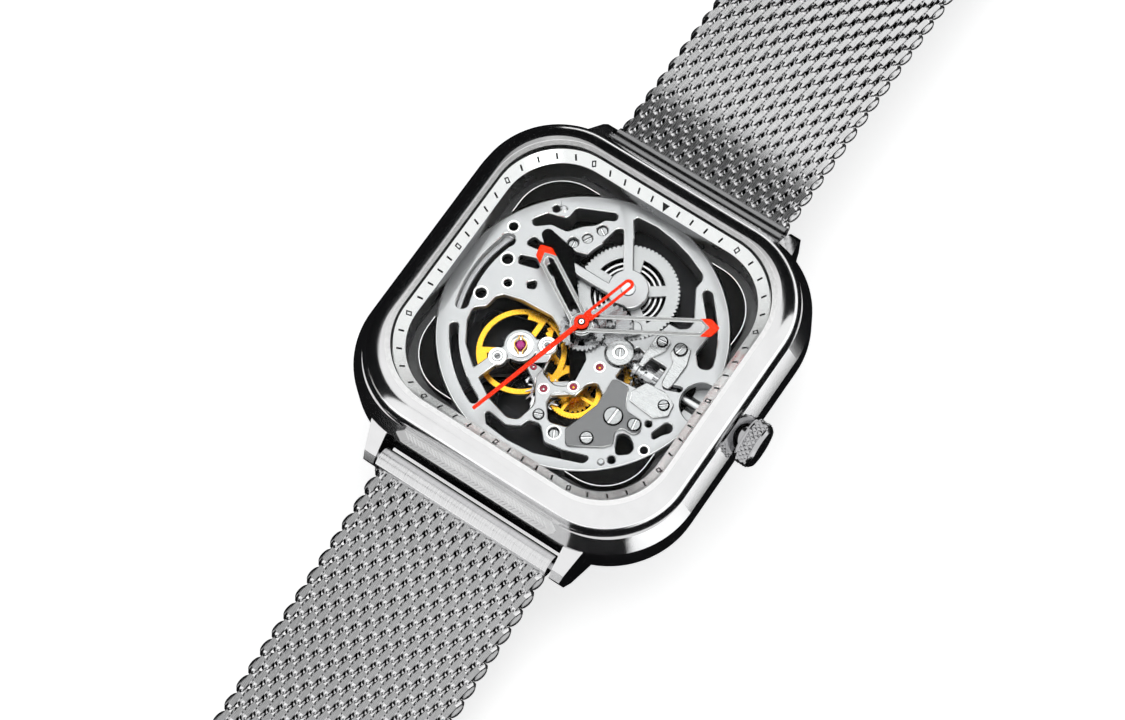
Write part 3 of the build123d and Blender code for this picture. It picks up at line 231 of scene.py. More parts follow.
def noise(tree, start, scale, detail):
    # an even noise over the piece
    texture = tree.nodes.new("ShaderNodeTexNoise")
    texture.inputs["Scale"].default_value = scale
    texture.inputs["Detail"].default_value = detail
    join(tree, start, "Vector", texture, "Vector")
    return texture


def relief(tree, height, distance):
    # a bump as deep as its distance
    bump = tree.nodes.new("ShaderNodeBump")
    bump.inputs["Distance"].default_value = distance
    join(tree, *height, bump, "Height")
    return bump


# Grain: fine lines along the brushing, with the roughness and the tone moving a little over the surface
grain, start, end = new_group(
    "brushed_grain",
    (("Tone", "Color", None), ("Contrast", "Float", 0.1), ("Roughness", "Float", 0.3), ("Depth", "Float", 0.2)),
    (("Color", "Color"), ("Roughness", "Float"), ("Normal", "Vector")))
spread = grain.nodes.new("ShaderNodeMapRange")
spread.inputs["From Min"].default_value = 0.25
spread.inputs["From Max"].default_value = 0.75
spread.inputs["To Max"].default_value = 1
join(grain, noise(grain, start, 1, 4), "Fac", spread, "Value")
contrast = reckon(grain, "MULTIPLY", (spread, "Result"), (start, "Contrast"))
join(grain, *mix_tones(grain, contrast, (start, "Tone"), GRAIN_SHADE), end, "Color")
join(grain, *reckon(grain, "MULTIPLY_ADD", (spread, "Result"), 0.12, (start, "Roughness")), end, "Roughness")
ridges = relief(grain, (spread, "Result"), 0.02 * MM)
join(grain, start, "Depth", ridges, "Strength")
join(grain, ridges, "Normal", end, "Normal")

# Handling: soft smudges and a few hairline scratches that only change the gloss
handling, start, end = new_group(
    "handling_marks",
    (("Roughness", "Float", 0.1), ("Amount", "Float", 0.1)),
    (("Roughness", "Float"), ("Normal", "Vector")))
smudges = reckon(handling, "MULTIPLY", (noise(handling, start, 260, 3), "Fac"), (start, "Amount"))
join(handling, *reckon(handling, "ADD", smudges, (start, "Roughness")), end, "Roughness")
scratches = relief(handling, (noise(handling, start, 3000, 2), "Fac"), 0.01 * MM)
scratches.inputs["Strength"].default_value = 0.06
join(handling, scratches, "Normal", end, "Normal")

# Cloud: a colour that drifts between two tones
cloud, start, end = new_group(
    "cloudy_tone", (("Tone", "Color", None), ("Other", "Color", None), ("Scale", "Float", 400)), (("Color", "Color"),))
drift = noise(cloud, start, 1, 2)
join(cloud, start, "Scale", drift, "Scale")
join(cloud, *mix_tones(cloud, (drift, "Fac"), (start, "Tone"), (start, "Other")), end, "Color")


def effect(tree, group, stretch=(1, 1, 1), **values):
    # one of the effects above on the piece's own coordinates, with its values
    place = tree.nodes.new("ShaderNodeTexCoord")
    scale = tree.nodes.new("ShaderNodeMapping")
    scale.inputs["Scale"].default_value = stretch
    node = tree.nodes.new("ShaderNodeGroup")
    node.node_tree = group
    for socket, value in values.items():
        node.inputs[socket].default_value = value
    join(tree, place, "Object", scale, "Vector")
    join(tree, scale, "Vector", node, "Vector")
    return node


def brushed_metal(name, colour, roughness, lines_per_m, contrast, depth):
    # a satin metal whose grain runs along the axis with the few lines
    material, tree, surface = new_material(name, roughness)
    finish = effect(tree, grain, lines_per_m, Tone=colour, Contrast=contrast, Roughness=roughness, Depth=depth)
    join(tree, finish, "Color", surface, "Base Color")
    join(tree, finish, "Roughness", surface, "Roughness")
    join(tree, finish, "Normal", surface, "Normal")
    surface.inputs["Metallic"].default_value = 1
    return material


def darker(colour, share):
    # the same colour with only that share of its light
    return tuple(share * c for c in colour[:3]) + (1,)


def polished_metal(name, colour, roughness, amount):
    # a bright metal with handling marks and a faint drift of tone
    material, tree, surface = new_material(name, roughness)
    marks = effect(tree, handling, Roughness=roughness, Amount=amount)
    join(tree, marks, "Roughness", surface, "Roughness")
    join(tree, marks, "Normal", surface, "Normal")
    tone = effect(tree, cloud, Tone=colour, Other=darker(colour, 0.88), Scale=400)
    join(tree, tone, "Color", surface, "Base Color")
    surface.inputs["Metallic"].default_value = 1
    return material


def dress(material, *names):
    # gives CAD nodes their finish
    for name in names:
        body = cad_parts[name]
        body.data.materials.clear()
        body.data.materials.append(material)


dress(polished_metal("case_polish", STEEL, 0.07, 0.08), "case_middle")


# ------------------------------------------------------------------ case back
# A screwed steel back holds a flat glass on a black rubber seal, so that the rotor shows from behind. Its
# inner face is painted black as shade, and four slotted screws with polished slots hold it.
# Black for the painted shade on upward faces, and the real black of the rubber seals
SHADE_AND_RUBBER_BLACK = (0.012, 0.012, 0.013, 1)
# Normals that point up by more than this get a painted black shade
UPWARD = 0.4
# The back's screws: radius and level in millimetres, and for each its place and the turn of its slot
BACK_SCREW_R = 0.85
BACK_SCREW_LEVEL = 0.1
BACK_SCREWS = (((13.2, 13.2), 20), ((-13.2, 13.2), 55), ((-13.2, -13.2), 90), ((13.2, -13.2), 125))
# Every screw's head: its height, its slot's depth, its slot's width for its radius, and its broken rim
HEAD_HEIGHT = 0.36 * MM
SLOT_DEPTH = 0.12 * MM
SLOT_WIDTH = 0.3
HEAD_RIM = 0.045 * MM
# The glasses are treated against glare, so they turn light less than bare glass, and they let this much of the
# lamps' light through
GLASS_IOR = 1.1
LAMP_LIGHT = 0.95


def part_of(tree, kind, axis):
    # one axis of the piece's own place or normal
    place = tree.nodes.new("ShaderNodeTexCoord")
    split = tree.nodes.new("ShaderNodeSeparateXYZ")
    join(tree, place, kind, split, "Vector")
    return split, axis


def coat_or_shade(material, mask, colour):
    # lays a colour over the metal's own where the mask is 1, for a real coat of lacquer and for painted shade
    tree = material.node_tree
    surface = tree.nodes["Principled BSDF"]
    metal = surface.inputs["Base Color"].links[0].from_node
    join(tree, *mix_tones(tree, mask, (metal, "Color"), colour), surface, "Base Color")


def painted_shade_top(name, colour):
    # satin metal whose upward faces are painted black as shade
    material = brushed_metal(name, colour, 0.26, (300, 7000, 7000), 0.18, 0.3)
    tree = material.node_tree
    coat_or_shade(material, reckon(tree, "GREATER_THAN", part_of(tree, "Normal", "Z"), UPWARD), SHADE_AND_RUBBER_BLACK)
    return material


# the back's inner face, turned up into the case, is painted black as shade
dress(painted_shade_top("back_satin_shaded", STEEL), "case_back")
slot_polish = polished_metal("back_polish", (0.8, 0.8, 0.81, 1), 0.12, 0.1)
screw_steel = polished_metal("screw_steel", (0.34, 0.345, 0.35, 1), 0.12, 0.15)


def select(*pieces):
    # selects these pieces and no others, with the first one active
    bpy.ops.object.select_all(action="DESELECT")
    for piece in pieces:
        piece.select_set(True)
    bpy.context.view_layer.objects.active = pieces[0]


def modify(piece, kind, **settings):
    # gives the active piece a modifier with its settings, and applies it
    modifier = piece.modifiers.new(kind.lower(), kind)
    for setting, value in settings.items():
        setattr(modifier, setting, value)
    bpy.ops.object.modifier_apply(modifier=modifier.name)


def screw(name, spot, radius, level, turn, body, down=False):
    # a slotted screw head with a broken rim, standing a little over its level
    side = -1 if down else 1
    place = Vector((*spot, level)) * MM
    bpy.ops.object.select_all(action="DESELECT")
    bpy.ops.mesh.primitive_cylinder_add(vertices=36, radius=radius * MM, depth=HEAD_HEIGHT, location=place)
    head = bpy.context.object
    head.name = name
    bpy.ops.object.transform_apply(location=True)
    bpy.ops.object.select_all(action="DESELECT")
    bpy.ops.mesh.primitive_cube_add(size=1, location=place + Vector((0, 0, side * HEAD_HEIGHT / 2)))
    saw = bpy.context.object
    saw.scale = (3 * radius * MM, SLOT_WIDTH * radius * MM, 2 * SLOT_DEPTH)
    saw.rotation_euler.z = radians(turn)
    select(head)
    modify(head, "BOOLEAN", object=saw, solver="EXACT")
    bpy.data.objects.remove(saw)
    modify(head, "BEVEL", width=HEAD_RIM, limit_method="ANGLE", angle_limit=radians(50), use_clamp_overlap=False)
    bpy.ops.object.shade_smooth_by_angle(angle=radians(30))
    head.data.materials.append(screw_steel)
    head.data.materials.append(slot_polish)
    for face in head.data.polygons:
        over_middle = side * (face.center.z - place.z)
        face.material_index = 1 if 0.02 * MM < over_middle < SLOT_DEPTH else 0
    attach(head, body)


for k, (spot, turn) in enumerate(BACK_SCREWS):
    screw("back_screw_" + str(k + 1), spot, BACK_SCREW_R, BACK_SCREW_LEVEL, turn, "case", True)


def clear_glass(name, tint):
    # window glass that lets the light of the lamps through to what is under it
    material, tree, surface = new_material(name, 0)
    surface.inputs["Base Color"].default_value = tint
    surface.inputs["Transmission Weight"].default_value = 1
    surface.inputs["IOR"].default_value = GLASS_IOR
    place = tree.nodes.new("ShaderNodeTexCoord")
    haze = tree.nodes.new("ShaderNodeTexNoise")
    haze.inputs["Scale"].default_value = 120
    join(tree, place, "Object", haze, "Vector")
    join(tree, *reckon(tree, "MULTIPLY", (haze, "Fac"), 0.012), surface, "Roughness")
    path = tree.nodes.new("ShaderNodeLightPath")
    join(tree, *reckon(tree, "MULTIPLY_ADD", (path, "Is Shadow Ray"), -LAMP_LIGHT, 1), surface, "Alpha")
    return material


dress(clear_glass("window_glass", (0.99, 1, 0.995, 1)), "crystal", "case_back_crystal")


def clouded(name, tone, other, scale, roughness, specular=0.5):
    # rubber, ink, lacquer or ruby, whose colour drifts between two tones
    material, tree, surface = new_material(name, roughness)
    join(tree, effect(tree, cloud, Tone=tone, Other=other, Scale=scale), "Color", surface, "Base Color")
    surface.inputs["Specular IOR Level"].default_value = specular
    return material


seal_rubber = clouded("seal_rubber", SHADE_AND_RUBBER_BLACK, (0.04, 0.04, 0.042, 1), 5000, 0.6)
dress(seal_rubber, "case_back_gasket", "crown_gasket")


# ------------------------------------------------------------------ casing ring
# A black plated ring fills the square case round the movement. Its wall is glossy, and in the corners it
# has a floor with a fine bright edge.
WELL_HALF = 14.88 * MM
WELL_CORNER = 6.5 * MM
STEP_HALF = 13.65 * MM
STEP_CORNER = 5.3 * MM
LINE_WIDTH = 0.08 * MM
PLATE_EDGE = 15.34 * MM

dress(polished_metal("well_dark", (0.22, 0.22, 0.225, 1), 0.22, 0.12), "casing_ring")
# Black for the casing ring, and for the painted shadow rings round the screws and the seconds pipe
well_black = polished_metal("well_black", (0.008, 0.008, 0.008, 1), 0.5, 0.1)
well_grey = polished_metal("well_grey", (0.1, 0.1, 0.102, 1), 0.4, 0.1)
line_bright = polished_metal("line_bright", (0.7, 0.7, 0.71, 1), 0.15, 0.1)


def well_corners(name, half, corner, low, thick, finish):
    # a rounded square plate, cut out for the movement so that only its four corners are left
    bpy.ops.object.select_all(action="DESELECT")
    bpy.ops.mesh.primitive_cube_add(size=1, location=(0, 0, low + thick / 2))
    floor = bpy.context.object
    floor.name = name
    floor.scale = (2 * half, 2 * half, thick)
    bpy.ops.object.transform_apply(location=True, scale=True)
    bpy.ops.object.mode_set(mode="EDIT")
    bpy.ops.mesh.select_all(action="DESELECT")
    bpy.ops.object.mode_set(mode="OBJECT")
    for edge in floor.data.edges:
        one, two = (floor.data.vertices[k].co for k in edge.vertices)
        edge.select = abs(one.z - two.z) > thick / 2
    bpy.ops.object.mode_set(mode="EDIT")
    bpy.ops.mesh.select_mode(type="EDGE")
    bpy.ops.mesh.bevel(offset=corner, offset_type="OFFSET", segments=14, clamp_overlap=False)
    bpy.ops.object.mode_set(mode="OBJECT")
    bpy.ops.object.select_all(action="DESELECT")
    bpy.ops.mesh.primitive_cylinder_add(vertices=128, radius=PLATE_EDGE, depth=4 * MM, location=(0, 0, low))
    core = bpy.context.object
    select(floor)
    modify(floor, "BOOLEAN", object=core, solver="EXACT")
    bpy.data.objects.remove(core)
    floor.data.materials.clear()
    floor.data.materials.append(finish)
    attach(floor, "case")


well_corners("well_floor", WELL_HALF, WELL_CORNER, 6.4 * MM, 0.3 * MM, well_grey)
well_corners("well_step", STEP_HALF, STEP_CORNER, 6.7 * MM, 1.6 * MM, well_black)
well_corners("well_line", STEP_HALF, STEP_CORNER, 8.3 * MM, 0.05 * MM, line_bright)
well_corners("well_cap", STEP_HALF - LINE_WIDTH, STEP_CORNER - LINE_WIDTH, 8.34 * MM, 0.04 * MM, well_black)


# ------------------------------------------------------------------ main plate
# The open main plate is brass under grey rhodium, with a fine frosted top and a polished chamfer round
# every opening. Everything else in the movement is fixed to it.
PLATE_CHAMFER = 0.09 * MM
SHARPEST_LEFT = radians(35)


def edged(node, body, faces, edges, width=PLATE_CHAMFER):
    # a copy of a CAD part with a narrow chamfer along its sharp edges
    piece = bpy.data.objects.new(node + "_edged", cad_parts[node].data.copy())
    bpy.context.scene.collection.objects.link(piece)
    select(piece)
    bpy.ops.mesh.customdata_custom_splitnormals_clear()
    bpy.ops.object.mode_set(mode="EDIT")
    bpy.ops.mesh.select_all(action="SELECT")
    bpy.ops.mesh.remove_doubles(threshold=0.002 * MM)
    bpy.ops.mesh.dissolve_limited(angle_limit=radians(1))
    bpy.ops.object.mode_set(mode="OBJECT")
    piece.data.materials.clear()
    piece.data.materials.append(faces)
    piece.data.materials.append(edges)
    modify(piece, "BEVEL", width=width, segments=1, limit_method="ANGLE", angle_limit=SHARPEST_LEFT,
           use_clamp_overlap=False, material=1)
    bpy.ops.object.shade_smooth_by_angle(angle=radians(28))
    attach(piece, body)
    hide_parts(node)


frosted_grey = brushed_metal("frosted_grey", (0.5, 0.505, 0.515, 1), 0.36, (9000, 9000, 9000), 0.22, 0.35)
edge_polish = polished_metal("edge_polish", (0.95, 0.95, 0.95, 1), 0.12, 0.1)
edged("main_plate", "case", frosted_grey, edge_polish)


# ------------------------------------------------------------------ cover plate, levers and springs
# A satin plate screwed over the motion works holds the levers that put the crown's two positions to work.
# Every screw sits in a thin black ring of painted shadow, and bosses, jewels and holes have polished rims.
cover_satin = brushed_metal("cover_satin", (0.14, 0.141, 0.144, 1), 0.3, (9000, 600, 9000), 0.2, 0.3)
edged("cover_plate", "case", cover_satin, edge_polish)
mirror_steel = polished_metal("mirror_steel", (0.5, 0.5, 0.51, 1), 0.1, 0.12)
lever_satin = brushed_metal("lever_satin", (0.42, 0.425, 0.43, 1), 0.2, (600, 9000, 9000), 0.16, 0.3)
edged("setting_lever", "setting_lever_group", lever_satin, edge_polish)
edged("yoke", "yoke_group", lever_satin, edge_polish)
edged("lever_spring", "case", lever_satin, edge_polish)
dress(mirror_steel, "crown_tube", "winding_stem", "winding_pinion", "sliding_pinion", "click", "crown_wheel",
      "spring_bars", "clasp_pin", "barrel_arbor", "pallet_fork", "escape_wheel", "setting_wheel", "mainspring",
      "hairspring")
motion_steel = polished_metal("motion_steel", (0.26, 0.262, 0.27, 1), 0.16, 0.12)
dress(motion_steel, "cannon_pinion", "minute_wheel", "hour_wheel")

# The screws that hold the plate, the levers and the springs: place, radius and level in millimetres, and the
# turn of the slot. The places, radii and levels below are in millimetres too.
SCREWS = (((9.65, 3.75), 0.62, 8.55, 75), ((11.55, -2.25), 0.5, 8.5, 40), ((10.2, -5.65), 0.62, 8.5, 100),
          ((6.95, -9.5), 0.62, 8.5, 35), ((7.9, -6.05), 0.92, 8.5, 88), ((1.35, -10.0), 0.5, 8.2, 20),
          ((7.6, 3.45), 0.5, 8.55, 10), ((-5.4, 8.9), 0.5, 7.7, 60), ((-4.6, 10.5), 0.52, 7.6, 150),
          ((-9.05, 6.95), 0.5, 7.6, 20), ((3.75, -10.75), 0.5, 7.6, 120), ((-6.4, 7.7), 0.5, 7.4, 100))
# The eye over the setting wheel, and the two stepped bosses of the balance bridge
SETTING_EYE = (4.6, 0.1)
BOSSES = (("boss_outer", (-5.75, -7.1)), ("boss_inner", (-2.1, -3.3)))
# The jewels, and the holes with their radii, whose rims stand just over the plate
JEWELS = ((3.7, -2.3), (2.65, -5.55), (0.2, -7.4))
HOLES = (((-12.6, 5.75), 0.5), ((-11.05, 2.4), 0.6), ((-11.2, -2.25), 0.6), ((-9.5, 0.2), 0.45),
         ((3.75, -10.75), 0.6), ((12.5, -7.3), 0.42))
RIM_LEVEL = 8.24
RIM_THICK = 0.08


def collar(name, spot, outer, inner, level, thick, finish, body="case"):
    # a flat ring with soft edges, laid on the plate at its level
    place = Vector((*spot, level)) * MM
    bpy.ops.object.select_all(action="DESELECT")
    bpy.ops.mesh.primitive_circle_add(vertices=40, radius=outer * MM, location=place)
    ring = bpy.context.object
    ring.name = name
    bpy.ops.object.transform_apply(location=True)
    bpy.ops.object.mode_set(mode="EDIT")
    bpy.ops.mesh.select_all(action="SELECT")
    bpy.ops.mesh.extrude_region_move()
    bpy.ops.transform.resize(value=(inner / outer, inner / outer, 1), center_override=place)
    bpy.ops.mesh.select_all(action="SELECT")
    bpy.ops.mesh.normals_make_consistent(inside=False)
    bpy.ops.object.mode_set(mode="OBJECT")
    if ring.data.polygons[0].normal.z < 0:
        ring.data.flip_normals()
    modify(ring, "SOLIDIFY", thickness=thick * MM)
    modify(ring, "BEVEL", width=0.3 * thick * MM, segments=2, limit_method="ANGLE")
    bpy.ops.object.shade_smooth_by_angle(angle=radians(35))
    ring.data.materials.append(finish)
    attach(ring, body)


for k, (spot, radius, level, turn) in enumerate(SCREWS):
    screw("plate_screw_" + str(k + 1), spot, radius, level, turn, "case")
    # a thin black ring round each screw is the painted shadow of its recess
    collar("screw_shadow_" + str(k + 1), spot, radius + 0.13, radius - 0.02, level + 0.03, 0.03, well_black)
collar("setting_eye", SETTING_EYE, 1.42, 0.5, 8.5, 0.24, lever_satin)
collar("setting_collar", SETTING_EYE, 0.82, 0.52, 8.6, 0.14, edge_polish)
screw("setting_screw", SETTING_EYE, 0.5, 8.3, 120, "case")
for name, spot in BOSSES:
    collar(name + "_step", spot, 0.95, 0.6, 8.34, 0.14, edge_polish)
    collar(name + "_rim", spot, 0.56, 0.3, 8.36, 0.16, line_bright)
    screw(name + "_screw", spot, 0.27, 8.12, 60, "case")
for k, spot in enumerate(JEWELS):
    collar("jewel_rim_" + str(k + 1), spot, 0.62, 0.43, RIM_LEVEL, RIM_THICK, edge_polish)
for k, (spot, radius) in enumerate(HOLES):
    collar("hole_rim_" + str(k + 1), spot, radius + 0.2, radius + 0.03, RIM_LEVEL, RIM_THICK, edge_polish)


# ------------------------------------------------------------------ bridges and rotor
# The bridges under the plate are satin steel. The side that faces up through the plate's openings is
# painted black as shade, so that the gilt wheels stand out against it.
bridge_satin_shaded = painted_shade_top("bridge_satin_shaded", (0.62, 0.625, 0.63, 1))
dress(bridge_satin_shaded, "barrel_bridge", "train_bridge", "balance_cock", "rotor")


# ------------------------------------------------------------------ barrel, train and balance
# The steel barrel has open windows over its spring. The wheels of the train and the balance are gilt
# brass, and their pivots turn in red rubies.
BARREL_STEEL = (0.42, 0.425, 0.43, 1)
BARREL_GRAIN = (6000, 6000, 6000)
BARREL_FLOOR = 6.5 * MM

dress(brushed_metal("wheel_satin", BARREL_STEEL, 0.28, BARREL_GRAIN, 0.35, 0.6), "ratchet_wheel")
# The barrel's floor, seen through its windows, is painted black as shade
barrel_satin = brushed_metal("barrel_satin", BARREL_STEEL, 0.28, BARREL_GRAIN, 0.35, 0.6)
tree = barrel_satin.node_tree
coat_or_shade(barrel_satin, reckon(tree, "LESS_THAN", part_of(tree, "Object", "Z"), BARREL_FLOOR), (0.01, 0.01, 0.01, 1))
dress(barrel_satin, "barrel_drum")
gilt = brushed_metal("gilt", (0.92, 0.47, 0.03, 1), 0.22, (5000, 5000, 5000), 0.08, 0.2)
dress(gilt, "centre_wheel", "third_wheel", "fourth_wheel", "seconds_idler", "seconds_wheel", "balance_wheel")


def ruby_stone(name, colour):
    # a polished synthetic ruby, darker where it is cloudy
    return clouded(name, colour, darker(colour, 0.35), 2500, 0.06)


dress(ruby_stone("ruby", (0.42, 0.004, 0.045, 1)), "train_jewels")


# ------------------------------------------------------------------ shock setting
# The balance pivot turns in a ruby held by a gold lyre spring, in a polished steel ring. The spring lets the
# stone give way to a knock and brings it back.
BALANCE = Vector((-4.5, -4.75, 0)) * MM
LYRE_LEVEL = Vector((0, 0, 8.16)) * MM
LYRE_TURN = 33
LYRE_WIRE_R = 0.085 * MM
# One arm of the lyre from its hinge to its foot, across and along, in millimetres
LYRE_ARM = ((0.14, 1.0), (0.16, 0.72), (0.52, 0.5), (0.66, 0.1), (0.56, -0.3), (0.24, -0.6), (0.2, -0.98))
STONE_R = 0.5 * MM
STONE_LEVEL = Vector((0, 0, 8.08)) * MM
STONE_FLOOR = Vector((0, 0, 8.06)) * MM

dress(polished_metal("shock_steel", (0.7, 0.7, 0.71, 1), 0.12, 0.1), "shock_setting")

line = bpy.data.curves.new("lyre_spring", "CURVE")
line.dimensions = "3D"
line.bevel_depth = LYRE_WIRE_R
line.bevel_resolution = 2
line.use_fill_caps = True
for side in (1, -1):
    arm = line.splines.new("NURBS")
    arm.points.add(len(LYRE_ARM) - 1)
    for point, (across, along) in zip(arm.points, LYRE_ARM):
        point.co = (side * across * MM, along * MM, 0, 1)
    arm.order_u = 3
    arm.use_endpoint_u = True
lyre = bpy.data.objects.new("lyre_spring", line)
bpy.context.scene.collection.objects.link(lyre)
select(lyre)
bpy.ops.object.convert(target="MESH")
lyre = bpy.context.object
lyre.location = BALANCE + LYRE_LEVEL
lyre.rotation_euler.z = radians(LYRE_TURN)
bpy.ops.object.transform_apply(location=True, rotation=True)
bpy.ops.object.shade_smooth_by_angle(angle=radians(60))
lyre.data.materials.append(polished_metal("lyre_gold", (1.0, 0.66, 0.24, 1), 0.14, 0.1))
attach(lyre, "case")

bpy.ops.object.select_all(action="DESELECT")
bpy.ops.mesh.primitive_uv_sphere_add(segments=24, ring_count=12, radius=STONE_R, location=BALANCE + STONE_LEVEL)
cap = bpy.context.object
cap.name = "end_stone"
cap.scale.z = 0.3
bpy.ops.object.transform_apply(location=True, scale=True)
bpy.ops.object.mode_set(mode="EDIT")
bpy.ops.mesh.select_all(action="SELECT")
bpy.ops.mesh.bisect(plane_co=STONE_FLOOR, plane_no=(0, 0, 1), use_fill=True, clear_inner=True)
bpy.ops.object.mode_set(mode="OBJECT")
bpy.ops.object.shade_smooth_by_angle(angle=radians(40))
cap.data.materials.append(ruby_stone("end_stone_red", (0.62, 0.008, 0.3, 1)))
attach(cap, "case")


# ------------------------------------------------------------------ minute track
# A silvered ring slopes down from the glass to the movement. Printed on it in black are sixty strokes,
# with an open box at each five minutes and a triangle at twelve.
TRACK_HALF = 15.42 * MM
TRACK_CORNER = 7.04 * MM
TRACK_ABOVE = 11.1 * MM
STROKE = (0.55, 0.2)
BOX = (0.56, 0.46)
BOX_LINE = 0.12 * MM
TRIANGLE_R = 0.5 * MM
INK_LIFT = 0.012 * MM
INK_THICK = 0.01 * MM

track_silver = brushed_metal("track_silver", (0.97, 0.97, 0.97, 1), 0.16, (3000, 3000, 3000), 0.04, 0.1)
dress(track_silver, "flange_ring", "crystal_gasket")


def track_reach(turn):
    # how far out the middle of the track lies in one direction
    across, along = abs(cos(turn)), abs(sin(turn))
    side = TRACK_HALF / max(across, along)
    knee = TRACK_HALF - TRACK_CORNER
    if side * min(across, along) <= knee:
        return side
    to_corner = knee * (across + along)
    return to_corner + (to_corner ** 2 - 2 * knee ** 2 + TRACK_CORNER ** 2) ** 0.5


strokes = []
for minute in range(60):
    turn = radians(90 - 6 * minute)
    reach = track_reach(turn)
    spot = (reach * cos(turn), reach * sin(turn), TRACK_ABOVE)
    bpy.ops.object.select_all(action="DESELECT")
    if minute == 0:
        bpy.ops.mesh.primitive_circle_add(vertices=3, radius=TRIANGLE_R, fill_type="NGON", location=spot)
        stroke = bpy.context.object
        stroke.rotation_euler.z = radians(180)
    else:
        length, width = STROKE if minute % 5 else BOX
        bpy.ops.mesh.primitive_plane_add(size=1, location=spot)
        stroke = bpy.context.object
        stroke.scale = (length * MM, width * MM, 1)
        stroke.rotation_euler.z = turn
    bpy.ops.object.transform_apply(location=True, rotation=True, scale=True)
    if minute % 5 == 0 and minute:
        bpy.ops.object.mode_set(mode="EDIT")
        bpy.ops.mesh.select_all(action="SELECT")
        bpy.ops.mesh.inset(thickness=BOX_LINE, depth=0)
        bpy.ops.mesh.delete(type="FACE")
        bpy.ops.object.mode_set(mode="OBJECT")
    strokes.append(stroke)
select(*strokes)
bpy.ops.object.join()
strokes = bpy.context.object
strokes.name = "minute_strokes"
modify(strokes, "SHRINKWRAP", target=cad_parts["flange_ring"], wrap_method="PROJECT", use_project_z=True,
       use_negative_direction=True, use_positive_direction=False, offset=INK_LIFT)
modify(strokes, "SOLIDIFY", thickness=INK_THICK)
strokes.data.materials.append(clouded("track_ink", (0.006, 0.006, 0.006, 1), (0.03, 0.03, 0.03, 1), 9000, 0.7, 0.1))
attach(strokes, "case")


# ------------------------------------------------------------------ hands
# The hour and minute hands are open polished rails with an orange arrow at the tip. The seconds hand is
# orange all over, with a loop for a tail, and is pressed onto a bright pipe.
ORANGE = (1.0, 0.03, 0.0, 1)
HAND_CHAMFER = 0.1 * MM
SECONDS_CHAMFER = 0.05 * MM
# The hour and minute hands' faces are painted darker as shade, and their chamfers lighter as highlight, on one
# polished steel
FACE_SHADE_TONE = 0.22
EDGE_HIGHLIGHT_TONE = 0.8
NOTCH_SLOPE = 0.95
# The hour and minute hands: node and body, the way the hand points in degrees, and where its arrow starts
HANDS = (("hour", 149.8, 8.9 * MM), ("minute", 31.0, 13.1 * MM))


def tipped_hand(name, tone, angle, start):
    # polished steel with orange lacquer on the arrow, which starts in a notch
    material = polished_metal(name, (tone, tone, tone, 1), 0.1, 0.08)
    tree = material.node_tree
    surface = tree.nodes["Principled BSDF"]
    place = tree.nodes.new("ShaderNodeTexCoord")
    along = tree.nodes.new("ShaderNodeMapping")
    along.inputs["Rotation"].default_value = (0, 0, radians(-angle))
    split = tree.nodes.new("ShaderNodeSeparateXYZ")
    join(tree, place, "Object", along, "Vector")
    join(tree, along, "Vector", split, "Vector")
    beside = reckon(tree, "ABSOLUTE", (split, "Y"))
    notch = reckon(tree, "MULTIPLY_ADD", beside, NOTCH_SLOPE, (split, "X"))
    painted = reckon(tree, "GREATER_THAN", notch, start)
    coat_or_shade(material, painted, ORANGE)
    join(tree, *reckon(tree, "SUBTRACT", 1, painted), surface, "Metallic")
    surface.inputs["Specular IOR Level"].default_value = 0.1
    return material


for hand, angle, start in HANDS:
    edged(hand + "_hand", hand, tipped_hand(hand + "_face", FACE_SHADE_TONE, angle, start),
          tipped_hand(hand + "_edge", EDGE_HIGHLIGHT_TONE, angle, start), HAND_CHAMFER)
orange = clouded("orange_lacquer", ORANGE, (0.75, 0.02, 0.001, 1), 1800, 0.3, 0.1)
edged("seconds_hand", "seconds", orange, orange, SECONDS_CHAMFER)
# The pipe's bright end, and the shadow line round it
collar("seconds_pipe", (0, 0), 0.26, 0.1, 10.98, 0.06, edge_polish, "seconds")
collar("seconds_seat", (0, 0), 0.4, 0.2, 10.95, 0.04, well_black, "seconds")


# ------------------------------------------------------------------ bezel
# The bezel is one rounded square of steel, rolled over at its edge and pressed onto the case. Under it the
# glass lies on a fine black seal, which shows as a line where it meets the minute track.
SEAL_HALF = 16.1 * MM
SEAL_CORNER = 7.6 * MM
SEAL_LEVEL = 11.13 * MM
SEAL_R = 0.06 * MM

dress(polished_metal("bezel_polish", (0.9, 0.9, 0.905, 1), 0.1, 0.1), "bezel")
bpy.ops.object.select_all(action="DESELECT")
bpy.ops.mesh.primitive_plane_add(size=2 * SEAL_HALF, location=(0, 0, SEAL_LEVEL))
seal = bpy.context.object
seal.name = "glass_seal"
bpy.ops.object.transform_apply(location=True)
bpy.ops.object.mode_set(mode="EDIT")
bpy.ops.mesh.select_all(action="SELECT")
bpy.ops.mesh.bevel(offset=SEAL_CORNER, offset_type="OFFSET", segments=16, affect="VERTICES", clamp_overlap=False)
bpy.ops.mesh.select_all(action="SELECT")
bpy.ops.mesh.delete(type="ONLY_FACE")
bpy.ops.object.mode_set(mode="OBJECT")
bpy.ops.object.convert(target="CURVE")
seal = bpy.context.object
seal.data.bevel_depth = SEAL_R
seal.data.bevel_resolution = 1
bpy.ops.object.convert(target="MESH")
seal = bpy.context.object
seal.data.materials.clear()
seal.data.materials.append(seal_rubber)
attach(seal, "case")


